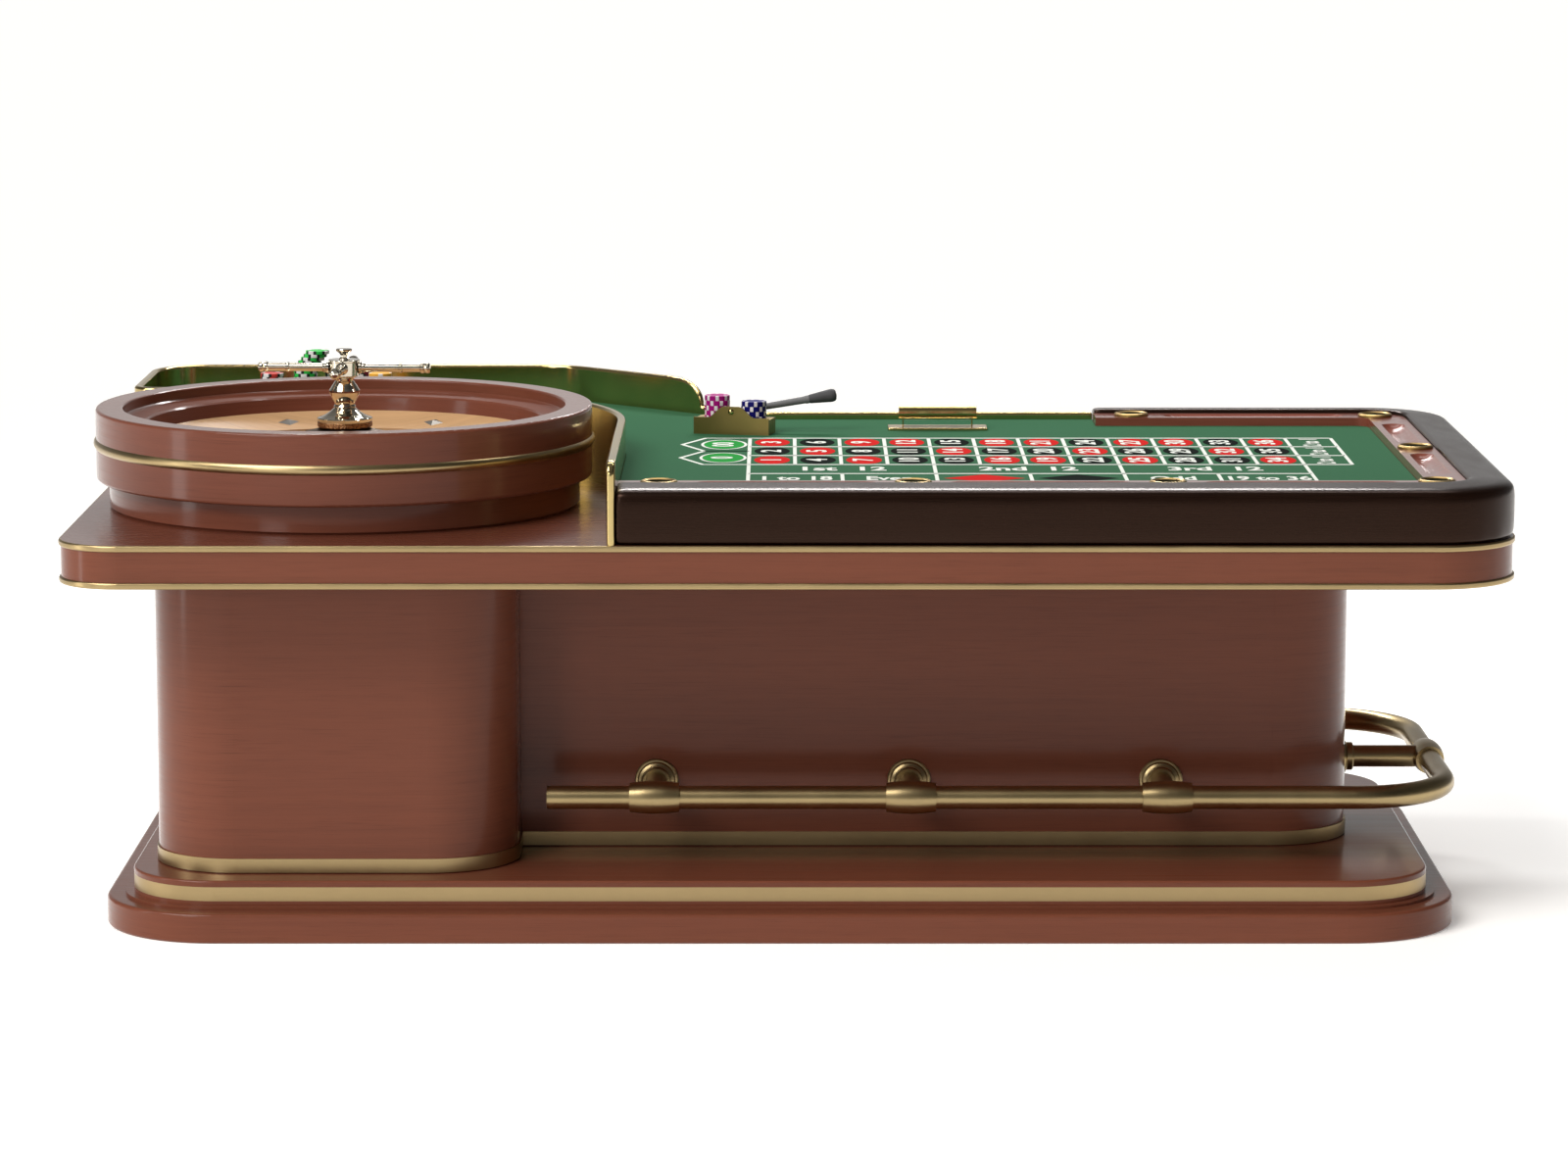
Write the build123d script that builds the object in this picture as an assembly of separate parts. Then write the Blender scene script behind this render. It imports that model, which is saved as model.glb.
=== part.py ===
from build123d import *

import os
from math import atan2, cos, degrees, radians, sin, tan

# Roulette table: a wheel on a low deck at the left and a raised felt playing bed at the right,
# carried by two pedestals on a stepped base with a brass foot rail.
# Millimetres, +Z up. The origin is on the floor, under the middle of the table's overall box.
# +X runs from the wheel's end to the far end, and +Y from the players' side to the dealer's.

# ---- the top's outline -------------------------------------------------------------------
LENGTH = 2447.0  # over the brass beads
DEPTH = 1475.0  # over the beads, with the wing behind the wheel
BEAD_PROUD = 3.5
BEAD_HEIGHT = 11.0
FRONT = -DEPTH / 2


def back(distance):
    """Y of a plane this far behind the table's front."""
    return FRONT + distance


HALF_TOP = LENGTH / 2 - BEAD_PROUD
TOP_FRONT = back(BEAD_PROUD)
PLAY_BACK = back(1173.0)
DEALER_EDGE = back(1143.0)
WING_BACK = back(DEPTH - BEAD_PROUD)
CORNER_FRONT_LEFT = 105.0
CORNER_RIGHT = 150.0
EDGE_TO_FENCE = 8.5  # from the top's edge to the fence's centre line
DEALER_STEP_RADIUS = 14.0

# ---- heights -----------------------------------------------------------------------------
SLAB_TOP = 51.5
LEDGE_TOP = 56.5
COVE_TOP = 64.0
BASE_BAND_TOP = 88.0
PLINTH_TOP = 99.0
APRON_BOTTOM = 611.5
DECK_BOTTOM = 660.0
DECK_SKIN = 2.0
DECK_TOP = 685.0
BED_BOTTOM = 738.5
BED_TOP = 757.5
FELT_TOP = 759.5
SHELF_TOP = 774.7
RAIL_TOP = 781.6
FENCE_TOP = 825.0
STRIP_TOP = 772.5

# ---- base and pedestals ------------------------------------------------------------------
BASE_LEFT, BASE_RIGHT = -1170.5, 1142.0
BASE_FRONT, BASE_BACK = back(48.0), back(1149.0)
BASE_CORNER = 198.0
LEDGE_INSET = 31.0
TIER_INSET = 46.0
BAND_THICKNESS = 3.0
BASE_EDGE_RADIUS = 6.0
LIP_EDGE_RADIUS = 4.0

WHEEL_PEDESTAL = (-1087.0, -466.0, back(154.0), back(1045.0))
WHEEL_PEDESTAL_CORNER = 145.0
MAIN_PEDESTAL = (-465.8, 984.0, back(387.0), back(838.0))
MAIN_PEDESTAL_CORNER = 140.0
PEDESTAL_WALL = 18.0
KICK_BOTTOM, KICK_TOP = PLINTH_TOP + 2.0, 125.0

# ---- playing side ------------------------------------------------------------------------
APRON_WALL = 25.0
RAIL_START = -286.5
RAIL_END = 569.0
RAIL_FRONT, RAIL_RIGHT, RAIL_BACK = back(2.0), 1221.5, back(1174.5)
RAIL_WIDTH = 80.0
RAIL_BOTTOM = DECK_TOP + 2.0
RAIL_EDGE_RADIUS = 25.0
RAIL_INNER_RADIUS = 70.0
SHELF_WIDTH = 69.0
SHELF_INNER_RADIUS = 24.0
FIT = 0.5  # clearance between the rail, the shelf and the bed
CUP_PLACES = (
    (-217.0, back(113.5)),
    (209.0, back(113.5)),
    (636.0, back(113.5)),
    (1088.0, back(128.0)),
    (1106.5, back(583.0)),
    (1088.0, back(1047.0)),
    (637.0, back(1060.0)),
)
CUP_FLANGE, CUP_OUTER, CUP_INNER = 31.5, 25.5, 24.0
CUP_TOP = SHELF_TOP + 6.0
GROOVE_RADIUS = 26.0
GROOVE_RISE = 15.0  # the groove's axis is this far above the shelf
FRONT_GROOVES = ((-158.0, 150.0), (268.0, 577.0), (695.0, 1026.0))
BACK_GROOVES = ((696.0, 1030.0),)
SIDE_GROOVES = ((back(230.0), back(507.0)), (back(653.0), back(934.0)))
RIB_WIDTH = 20.0

# ---- guard fence -------------------------------------------------------------------------
FENCE_THICKNESS = 15.0
FENCE_EDGE = 5.0
PARTITION_X = -294.5
FENCE_LEFT = -HALF_TOP + EDGE_TO_FENCE
FENCE_BACK = WING_BACK - EDGE_TO_FENCE
STRIP_LINE = DEALER_EDGE - EDGE_TO_FENCE
PARTITION_BACK = back(1080.0)
DIAGONAL_START, DIAGONAL_END = -430.0, -75.0
WHEEL_ARC = 489.0
FENCE_TIGHT, FENCE_WING, FENCE_BREAK, FENCE_SWEEP = 35.0, 100.0, 120.0, 150.0
NOSE_RADIUS = 25.0
DROP_START, DROP_END = -226.0, -158.0  # where the fence's top falls to the low strip
DIAGONAL_LEAN = tan(atan2(FENCE_BACK - STRIP_LINE, DIAGONAL_END - DIAGONAL_START) / 2)

# ---- wheel -------------------------------------------------------------------------------
WHEEL_X, WHEEL_Y = -778.0, back(540.0)
POCKETS = 38
BASE_RING_RADIUS = 412.0
BASE_RING_TOP = 734.0
RIM_RADIUS, RIM_INNER, RIM_TOP = 434.0, 386.0, 858.0
WHEEL_BEAD_HEIGHT, WHEEL_BEAD_MIDDLE, WHEEL_BEAD_PROUD = 17.0, 797.0, 4.0
TRACK_INNER = 346.0
APRON_OUTER, APRON_INNER = 341.0, 288.0
APRON_HIGH, APRON_LOW, APRON_SEAT = 806.0, 780.0, 770.0
RIM_LEDGE = 302.0
DEFLECTOR_CIRCLE = 311.0
RADIAL_DEFLECTORS = (25.0, 152.0, 205.0, 332.0)
CROSS_DEFLECTORS = (64.0, 114.0, 244.0, 294.0)
DEFLECTOR_LENGTH, DEFLECTOR_WIDTH, DEFLECTOR_RISE = 46.0, 22.0, 5.0
ROTOR_RADIUS = 285.0
POCKET_INNER, POCKET_OUTER, POCKET_FLOOR = 204.3, 248.0, 750.0
FRET_TOP, FRET_THICKNESS = 767.0, 2.0
ROTOR_BOTTOM, CONE_TOP, CONE_EDGE = 744.0, 817.5, 786.0
NUMBERS_LOW, NUMBERS_HIGH = 768.0, 776.0
SPINDLE_RADIUS = 12.0
BEARING_CLEARANCE = 0.05
BEARING_RADIUS, BEARING_WIDTH = 21.0, 12.0
TURRET_BOTTOM = 818.6
ARM_HEIGHT = 922.6
ARM_TURN = -4.0
ARM_TIPS = (152.5, 112.0, 152.5, 112.0)
ARM_ROD, ARM_COLLAR = 7.4, 8.8
HUB_RADIUS = 26.5
BALL_RADIUS = 9.5

# ---- foot rail ---------------------------------------------------------------------------
TUBE_RADIUS, TUBE_WALL = 20.0, 3.0
TUBE_HEIGHT = 216.5
TUBE_FRONT, TUBE_RIGHT, TUBE_BACK = back(229.0), 1142.0, back(996.0)
TUBE_FRONT_END, TUBE_BACK_END = -411.0, 545.0
TUBE_BEND = 170.0
FRONT_BRACKETS = (-229.5, 210.0, 649.0)
SIDE_BRACKET = back(612.0)
BACK_BRACKET = 700.0
CLAMP_LENGTH, CLAMP_END, CLAMP_MIDDLE = 85.0, 25.0, 28.5
STEM_RADIUS = 19.5
ROSETTE_DEPTH = 24.0

# ---- chip tray, chips and lever ----------------------------------------------------------
TRAY_PLACE = (-172.7, back(911.0))
TRAY_TURN = -13.56
TRAY_LENGTH, TRAY_DEPTH, TRAY_HEIGHT = 141.0, 60.0, 28.0
TRAY_PLATE, TRAY_PLATE_HEIGHT, TRAY_HUMP = 4.0, 31.0, 51.0
TRAY_WELLS = ((36.0, 34.0), (105.0, 34.0))
TRAY_FLOOR = FELT_TOP + 5.0
WELL_RADIUS = 24.0
TRAY_CHIP_RADIUS, TRAY_CHIP_THICKNESS = 23.0, 9.0
TRAY_CHIP_COUNTS = (7, 6)
CHIP_RADIUS, CHIP_THICKNESS = 22.0, 6.1
CHIP_GAP = 0.05
LEVER_PIVOT = (-52.0, back(953.0), 802.5)
LEVER_RISE = 9.6
LEVER_ROD, LEVER_EYE, LEVER_PIN = 6.0, 9.0, 3.0
LEVER_GRIP_START, LEVER_TIP = 92.0, 143.0
EAR_GAP = 13.0
EAR_THICKNESS = 4.0
GREEN_STACK = (-889.0, back(1250.0))
GREEN_COUNT = 19
GREEN_LEAN = (0, -5, -10, -15.5, -20, -22.5, -23)  # each chip's offset, from the top one down
WING_STACKS = (
    (-975.0, back(1250.0), 12),
    (-858.0, back(1302.0), 12),
    (-810.0, back(1302.0), 12),
    (-771.5, back(1252.0), 12),
)

# ---- money slot, paddle and drop box -----------------------------------------------------
SLOT_X, SLOT_Y = 275.0, back(980.0)
SLOT_LENGTH, SLOT_WIDTH = 128.0, 12.0
SLOT_PLATE = (183.0, 56.0, 5.0)
CHUTE_WALL = 2.0
CHUTE_BOTTOM = 607.0
BLADE = (120.0, 8.0)
BLADE_BOTTOM, BLADE_TOP = 690.0, 792.0
HANDLE = (143.0, 20.0)
HANDLE_BOTTOM, HANDLE_TOP = 780.0, 802.0
HANDLE_ROUND = 9.0
PIN_RADIUS = 1.5
BOX_SIZE = (176.0, 240.0, 274.0)
BOX_TOP = 604.0
BOX_WALL = 2.0
BOX_FLANGE = 12.0
RUNNER = 3.0

# ---- shared shapes -----------------------------------------------------------------------


def slab(face, bottom, top):
    """A flat outline, raised between two heights."""
    return extrude(Pos(0, 0, bottom) * face, top - bottom)


def rounded(left, right, front, rear, corner):
    """A rectangle between four planes, with round corners."""
    return Pos((left + right) / 2, (front + rear) / 2) * RectangleRounded(
        right - left, rear - front, corner
    )


def bar(left, right, front, rear, bottom, top):
    """A box between six planes."""
    place = Pos((left + right) / 2, (front + rear) / 2, (bottom + top) / 2)
    return place * Box(right - left, rear - front, top - bottom)


def outlined(points, radii):
    """A closed outline with its own radius at each corner."""
    return make_face(FilletPolyline(*points, radius=radii, close=True).edges())


def turned(*profile):
    """A solid turned about the Z axis, from its (radius, height) section."""
    return revolve(make_face(Plane.XZ * Polyline(*profile, close=True)), Axis.Z)


def softened(solid, radius, lowest, highest):
    """Rounds the level edges between two heights."""
    edges = [
        edge
        for edge in solid.edges()
        if edge.bounding_box().size.Z < 0.01 and lowest <= edge.center().Z <= highest
    ]
    return fillet(edges, radius)


def at_wheel(shape):
    return Pos(WHEEL_X, WHEEL_Y) * shape


# ---- base --------------------------------------------------------------------------------


def base_outline(inset):
    corner = BASE_CORNER - inset
    return rounded(
        BASE_LEFT + inset, BASE_RIGHT - inset, BASE_FRONT + inset, BASE_BACK - inset, corner
    )


def base_slab():
    lower = softened(slab(base_outline(0), 0, SLAB_TOP), BASE_EDGE_RADIUS, 0, SLAB_TOP)
    ledge = slab(base_outline(LEDGE_INSET), SLAB_TOP, LEDGE_TOP)
    cove = slab(base_outline(TIER_INSET), LEDGE_TOP, COVE_TOP)
    return lower + ledge + cove


def base_upper_tier():
    core = slab(base_outline(TIER_INSET + BAND_THICKNESS), COVE_TOP, BASE_BAND_TOP)
    lip = slab(base_outline(TIER_INSET), BASE_BAND_TOP, PLINTH_TOP)
    return core + softened(lip, LIP_EDGE_RADIUS, PLINTH_TOP, PLINTH_TOP)


def base_band():
    ring = base_outline(TIER_INSET) - base_outline(TIER_INSET + BAND_THICKNESS)
    return slab(ring, COVE_TOP, BASE_BAND_TOP)


# ---- pedestals ---------------------------------------------------------------------------


def wheel_pedestal_outline(grow):
    left, right, front, rear = WHEEL_PEDESTAL
    corner = WHEEL_PEDESTAL_CORNER + grow
    return rounded(left - grow, right + grow, front - grow, rear + grow, corner)


def main_pedestal_outline(grow):
    left, right, front, rear = MAIN_PEDESTAL
    corner = MAIN_PEDESTAL_CORNER + grow
    points = (
        (left - grow, front - grow),
        (right + grow, front - grow),
        (right + grow, rear + grow),
        (left - grow, rear + grow),
    )
    return outlined(points, (0, corner, corner, 0))


def wheel_pedestal():
    wall = wheel_pedestal_outline(0) - wheel_pedestal_outline(-PEDESTAL_WALL)
    return slab(wall, PLINTH_TOP, DECK_BOTTOM)


def main_pedestal():
    wall = main_pedestal_outline(0) - main_pedestal_outline(-PEDESTAL_WALL)
    return slab(wall, PLINTH_TOP, DECK_BOTTOM)


def wheel_pedestal_band():
    ring = wheel_pedestal_outline(BAND_THICKNESS) - wheel_pedestal_outline(0)
    joined = main_pedestal_outline(BAND_THICKNESS)
    return slab(ring - joined, KICK_BOTTOM, KICK_TOP)


def main_pedestal_band():
    ring = main_pedestal_outline(BAND_THICKNESS) - main_pedestal_outline(0)
    joined = wheel_pedestal_outline(BAND_THICKNESS)
    return slab(ring - joined, KICK_BOTTOM, KICK_TOP)


# ---- deck and apron ----------------------------------------------------------------------


def top_outline(grow):
    """The table top from above, grown or shrunk all round."""
    left, right = -HALF_TOP - grow, HALF_TOP + grow
    lean = DIAGONAL_LEAN * (EDGE_TO_FENCE + grow)
    step_out = max(DEALER_STEP_RADIUS + grow, 0)
    step_in = min(DEALER_STEP_RADIUS - grow, PLAY_BACK - DEALER_EDGE - step_out - 1)
    points = (
        (left, TOP_FRONT - grow),
        (right, TOP_FRONT - grow),
        (right, PLAY_BACK + grow),
        (RAIL_END - grow, PLAY_BACK + grow),
        (RAIL_END - grow, DEALER_EDGE + grow),
        (DIAGONAL_END + lean, DEALER_EDGE + grow),
        (DIAGONAL_START + lean, WING_BACK + grow),
        (left, WING_BACK + grow),
    )
    radii = (
        CORNER_FRONT_LEFT + grow,
        CORNER_RIGHT + grow,
        CORNER_RIGHT + grow,
        step_out,
        step_in,
        FENCE_SWEEP - EDGE_TO_FENCE - grow,
        FENCE_BREAK + EDGE_TO_FENCE + grow,
        FENCE_WING + EDGE_TO_FENCE + grow,
    )
    return outlined(points, radii)


def apron_frame():
    wall = top_outline(0) - top_outline(-APRON_WALL)
    return slab(wall, APRON_BOTTOM, DECK_TOP - DECK_SKIN)


def deck_panel():
    inside = slab(top_outline(-APRON_WALL), DECK_BOTTOM, DECK_TOP - DECK_SKIN)
    skin = slab(top_outline(0), DECK_TOP - DECK_SKIN, DECK_TOP)
    return inside + skin - chute_hole(DECK_BOTTOM, DECK_TOP)


def apron_bead(bottom):
    ring = slab(top_outline(BEAD_PROUD), bottom, bottom + BEAD_HEIGHT)
    ring = softened(ring, BEAD_PROUD - 0.1, bottom, bottom + BEAD_HEIGHT)
    return ring - slab(top_outline(0), bottom, bottom + BEAD_HEIGHT)


def apron_bead_upper():
    return apron_bead(DECK_TOP - BEAD_HEIGHT)


def apron_bead_lower():
    return apron_bead(APRON_BOTTOM)


# ---- fence and bed -----------------------------------------------------------------------


def fence_corners(grow):
    """The fence's corners on one side of its centre line, with the radii of their bends."""
    lean = DIAGONAL_LEAN * grow
    left = FENCE_LEFT - grow
    points = (
        (PARTITION_X - grow, PARTITION_BACK - grow),
        (left, PARTITION_BACK - grow),
        (left, FENCE_BACK + grow),
        (DIAGONAL_START + lean, FENCE_BACK + grow),
        (DIAGONAL_END + lean, STRIP_LINE + grow),
    )
    radii = (
        WHEEL_ARC - grow,
        FENCE_TIGHT + grow,
        FENCE_WING + grow,
        FENCE_BREAK + grow,
        FENCE_SWEEP - grow,
    )
    return points, radii


def fence_side(grow, start):
    points, radii = fence_corners(grow)
    first = (PARTITION_X - grow, start)
    last = (RAIL_END - FIT, STRIP_LINE + grow)
    return FilletPolyline(first, *points, last, radius=radii)


def fence_plan():
    half = FENCE_THICKNESS / 2
    start = TOP_FRONT + half
    outer = fence_side(half, start)
    inner = fence_side(-half, start)
    nose = ThreePointArc(
        (PARTITION_X - half, start), (PARTITION_X, start - half), (PARTITION_X + half, start)
    )
    end_x = RAIL_END - FIT
    end = Line((end_x, STRIP_LINE - half), (end_x, STRIP_LINE + half))
    return make_face([*outer.edges(), *inner.edges(), nose, end])


def fence_fall():
    """What is cut away where the fence's top falls to the low strip."""
    beyond = RAIL_END + FENCE_THICKNESS
    above = FENCE_TOP + FENCE_THICKNESS
    fall = Spline(
        (DROP_START, FENCE_TOP), (DROP_END, STRIP_TOP), tangents=((1, 0), (0, -1))
    )
    rest = Polyline(
        (DROP_END, STRIP_TOP),
        (beyond, STRIP_TOP),
        (beyond, above),
        (DROP_START, above),
        (DROP_START, FENCE_TOP),
    )
    profile = make_face([fall, *rest.edges()])
    reach = WING_BACK - PARTITION_BACK
    return extrude(Plane.XZ.offset(-WING_BACK) * profile, reach)


def fence_nose():
    """What is cut away to round the top of the fence's front end."""
    front = TOP_FRONT
    corner = bar(
        PARTITION_X - FENCE_THICKNESS,
        PARTITION_X + FENCE_THICKNESS,
        front - 1,
        front + NOSE_RADIUS,
        FENCE_TOP - NOSE_RADIUS,
        FENCE_TOP + 1,
    )
    axle = Pos(PARTITION_X, front + NOSE_RADIUS, FENCE_TOP - NOSE_RADIUS)
    return corner - axle * Rot(0, 90, 0) * Cylinder(NOSE_RADIUS, 3 * FENCE_THICKNESS)


def guard_fence():
    wall = slab(fence_plan(), DECK_TOP, FENCE_TOP) - fence_fall() - fence_nose()
    top = [edge for edge in wall.edges() if edge.center().Z > STRIP_TOP - 0.01]
    return fillet([edge for edge in top if edge.length > 0.5], FENCE_EDGE)


def bed_outline(shrink_rail):
    """The raised bed from above: the fence on one side, the padded rail on the other."""
    points, radii = fence_corners(-FENCE_THICKNESS / 2 - FIT)
    inner = RAIL_WIDTH + FIT + shrink_rail
    corner = RAIL_INNER_RADIUS - FIT if shrink_rail == 0 else SHELF_INNER_RADIUS
    rim = (
        (RAIL_END - FIT, STRIP_LINE - FENCE_THICKNESS / 2 - FIT),
        (RAIL_END - FIT, RAIL_BACK - inner),
        (RAIL_RIGHT - inner, RAIL_BACK - inner),
        (RAIL_RIGHT - inner, RAIL_FRONT + inner),
        (RAIL_START, RAIL_FRONT + inner),
    )
    return outlined((*points, *rim), (*radii, 0, 0, corner, corner, 0))


def bed_panel():
    return slab(bed_outline(0), BED_BOTTOM, BED_TOP) - chute_hole(BED_BOTTOM, BED_TOP)


def bed_ribs():
    outline = bed_outline(0)
    height = (DECK_TOP, BED_BOTTOM)
    frame = slab(outline, *height) - slab(offset(outline, -RIB_WIDTH), *height)
    ribs = [
        bar(x - RIB_WIDTH / 2, x + RIB_WIDTH / 2, FRONT, FRONT + DEPTH, *height)
        for x in (-1000, -700, -450, -140, 150, 430, 720, 990)
    ]
    return frame + [rib & slab(outline, *height) for rib in ribs]


def felt_cloth():
    lip = SHELF_WIDTH
    cloth = slab(bed_outline(lip), BED_TOP, FELT_TOP)
    return cloth - chute_hole(BED_TOP, FELT_TOP)


# ---- padded rail, shelf and cups ---------------------------------------------------------


def rail_band(start, outer_corner, outer_inset, inner_inset, inner_corner):
    """A strip round the players' side, from the partition to the dealer's place."""
    points = (
        (start, RAIL_FRONT + outer_inset),
        (RAIL_RIGHT - outer_inset, RAIL_FRONT + outer_inset),
        (RAIL_RIGHT - outer_inset, RAIL_BACK - outer_inset),
        (RAIL_END, RAIL_BACK - outer_inset),
        (RAIL_END, RAIL_BACK - inner_inset),
        (RAIL_RIGHT - inner_inset, RAIL_BACK - inner_inset),
        (RAIL_RIGHT - inner_inset, RAIL_FRONT + inner_inset),
        (start, RAIL_FRONT + inner_inset),
    )
    radii = (0, outer_corner, outer_corner, 0, 0, inner_corner, inner_corner, 0)
    return outlined(points, radii)


def padded_rail():
    plan = rail_band(RAIL_START, CORNER_RIGHT, 0, RAIL_WIDTH, RAIL_INNER_RADIUS)
    rail = slab(plan, RAIL_BOTTOM, RAIL_TOP)
    outer = [
        edge
        for edge in rail.faces().sort_by(Axis.Z)[-1].edges()
        if edge.center().Y < RAIL_FRONT + 1
        or edge.center().Y > RAIL_BACK - 1
        or edge.bounding_box().max.X > RAIL_RIGHT - 1
    ]
    return fillet(outer, RAIL_EDGE_RADIUS)


def groove(start, end):
    """A long round-ended scoop along X, on the shelf's centre line."""
    length = end - start
    half_chord = (GROOVE_RADIUS**2 - GROOVE_RISE**2) ** 0.5
    tube = Rot(0, 90, 0) * Cylinder(GROOVE_RADIUS, length - 2 * half_chord)
    ends = [
        Pos(side * (length / 2 - half_chord), 0) * Sphere(GROOVE_RADIUS) for side in (-1, 1)
    ]
    return Pos(0, 0, SHELF_TOP + GROOVE_RISE) * (tube + ends)


def grooves():
    middle = RAIL_WIDTH + FIT + SHELF_WIDTH / 2
    placed = []
    for start, end in FRONT_GROOVES:
        placed.append(Pos((start + end) / 2, RAIL_FRONT + middle) * groove(start, end))
    for start, end in BACK_GROOVES:
        placed.append(Pos((start + end) / 2, RAIL_BACK - middle) * groove(start, end))
    for start, end in SIDE_GROOVES:
        place = Pos(RAIL_RIGHT - middle, (start + end) / 2) * Rot(0, 0, 90)
        placed.append(place * groove(start, end))
    return placed


def rail_shelf():
    edge = RAIL_WIDTH + FIT
    corner = RAIL_INNER_RADIUS - FIT
    plan = rail_band(RAIL_START, corner, edge, edge + SHELF_WIDTH - FIT, SHELF_INNER_RADIUS + FIT)
    shelf = slab(plan, BED_TOP, SHELF_TOP)
    holes = [
        Pos(x, y, BED_TOP) * Cylinder(CUP_OUTER + 0.1, 60) for x, y in CUP_PLACES
    ]
    return shelf - grooves() - holes


def cup_holders():
    bottom = BED_TOP + 0.2
    cup = turned(
        (0, bottom),
        (CUP_OUTER, bottom),
        (CUP_OUTER, SHELF_TOP + 0.1),
        (CUP_FLANGE, SHELF_TOP + 0.1),
        (CUP_FLANGE, SHELF_TOP + 3.2),
        (CUP_FLANGE - 2.2, CUP_TOP - 0.6),
        (CUP_FLANGE - 4.2, CUP_TOP),
        (CUP_INNER, CUP_TOP - 2.0),
        (CUP_INNER, bottom + 2.5),
        (0, bottom + 2.5),
    )
    return [Pos(x, y) * cup for x, y in CUP_PLACES]


# ---- wheel bowl --------------------------------------------------------------------------


def wheel_base():
    floor_top = DECK_TOP + 20
    return at_wheel(
        turned(
            (0, DECK_TOP),
            (BASE_RING_RADIUS - 4, DECK_TOP),
            (BASE_RING_RADIUS, DECK_TOP + 4),
            (BASE_RING_RADIUS, BASE_RING_TOP),
            (330, BASE_RING_TOP),
            (330, floor_top),
            (0, floor_top),
        )
    )


def wheel_rim():
    section = (
        (RIM_LEDGE, BASE_RING_TOP),
        (RIM_RADIUS, BASE_RING_TOP),
        (RIM_RADIUS, RIM_TOP),
        (RIM_INNER, RIM_TOP),
        (RIM_INNER, 790),
        (APRON_OUTER, 790),
        (APRON_OUTER, APRON_SEAT),
        (RIM_LEDGE, APRON_SEAT),
    )
    face = outlined(section, (0, 5, 5, 4, 0, 0, 0, 0))
    return at_wheel(revolve(Plane.XZ * face, Axis.Z))


def wheel_bead():
    low = WHEEL_BEAD_MIDDLE - WHEEL_BEAD_HEIGHT / 2
    high = WHEEL_BEAD_MIDDLE + WHEEL_BEAD_HEIGHT / 2
    outside = RIM_RADIUS + WHEEL_BEAD_PROUD
    arc = ThreePointArc((RIM_RADIUS, low), (outside, WHEEL_BEAD_MIDDLE), (RIM_RADIUS, high))
    flat = Line((RIM_RADIUS, high), (RIM_RADIUS, low))
    return at_wheel(revolve(Plane.XZ * make_face([arc, flat]), Axis.Z))


def ball_track():
    return at_wheel(
        turned(
            (APRON_OUTER, 790),
            (RIM_INNER, 790),
            (RIM_INNER, 840),
            (RIM_INNER - 3, 837.5),
            (RIM_INNER - 9, 836),
            (TRACK_INNER + 3, 832),
            (TRACK_INNER, 829),
            (APRON_OUTER, APRON_HIGH),
        )
    )


def stator_apron():
    return at_wheel(
        turned(
            (RIM_LEDGE, APRON_SEAT),
            (APRON_OUTER, APRON_SEAT),
            (APRON_OUTER, APRON_HIGH),
            (APRON_INNER, APRON_LOW),
            (APRON_INNER, APRON_SEAT),
        )
    )


def deflector():
    """A diamond of four facets, its foot flat on the XY plane."""
    half_length, half_width = DEFLECTOR_LENGTH / 2, DEFLECTOR_WIDTH / 2
    foot = Polyline(
        (half_length, 0), (0, half_width), (-half_length, 0), (0, -half_width), close=True
    )
    tip = Pos(0, 0, DEFLECTOR_RISE) * Rectangle(0.6, 0.6)
    return loft([make_face(foot), tip])


def deflectors():
    """Diamonds round the stator's slope, some along it and some across it."""
    slope = degrees(atan2(APRON_HIGH - APRON_LOW, APRON_OUTER - APRON_INNER))
    height = APRON_LOW + (DEFLECTOR_CIRCLE - APRON_INNER) * tan(radians(slope))
    seat = stator_apron()
    placed = []
    for turns, angles in ((0, RADIAL_DEFLECTORS), (90, CROSS_DEFLECTORS)):
        diamond = Rot(0, 0, turns) * deflector()
        for angle in angles:
            spot = Rot(0, 0, angle) * Pos(DEFLECTOR_CIRCLE, 0, height - 0.3) * Rot(0, -slope, 0)
            placed.append(at_wheel(spot * diamond) - seat)
    return placed


def spindle():
    foot = DECK_TOP + 20
    return at_wheel(
        turned(
            (0, foot),
            (45, foot),
            (45, foot + 8),
            (16, foot + 8),
            (16, 731.8),
            (SPINDLE_RADIUS, 731.8),
            (SPINDLE_RADIUS, 803),
            (SPINDLE_RADIUS - 3, 806),
            (0, 806),
        )
    )


# ---- rotor -------------------------------------------------------------------------------


def rotor_cone():
    rim = POCKET_INNER - 0.3
    return at_wheel(
        turned(
            (0, 808),
            (0, CONE_TOP),
            (rim - 3, CONE_EDGE),
            (rim, CONE_EDGE - 3),
            (rim, ROTOR_BOTTOM),
            (50, ROTOR_BOTTOM),
            (50, 732),
            (BEARING_RADIUS, 732),
            (BEARING_RADIUS, 802),
            (13, 802),
            (13, 808),
        )
    )


def rotor_bearings():
    bore = SPINDLE_RADIUS + BEARING_CLEARANCE
    placed = []
    for bottom in (732, 802 - BEARING_WIDTH):
        top = bottom + BEARING_WIDTH
        ring = turned((bore, bottom), (BEARING_RADIUS, bottom), (BEARING_RADIUS, top), (bore, top))
        placed.append(at_wheel(ring))
    return placed


def pocket_ring():
    return at_wheel(
        turned(
            (POCKET_INNER, ROTOR_BOTTOM),
            (POCKET_OUTER, ROTOR_BOTTOM),
            (POCKET_OUTER, POCKET_FLOOR),
            (POCKET_INNER, POCKET_FLOOR),
        )
    )


def number_ring():
    inner = POCKET_OUTER + 0.3
    return at_wheel(
        turned(
            (inner, ROTOR_BOTTOM),
            (ROTOR_RADIUS, ROTOR_BOTTOM),
            (ROTOR_RADIUS, NUMBERS_HIGH),
            (inner, NUMBERS_LOW),
        )
    )


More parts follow.
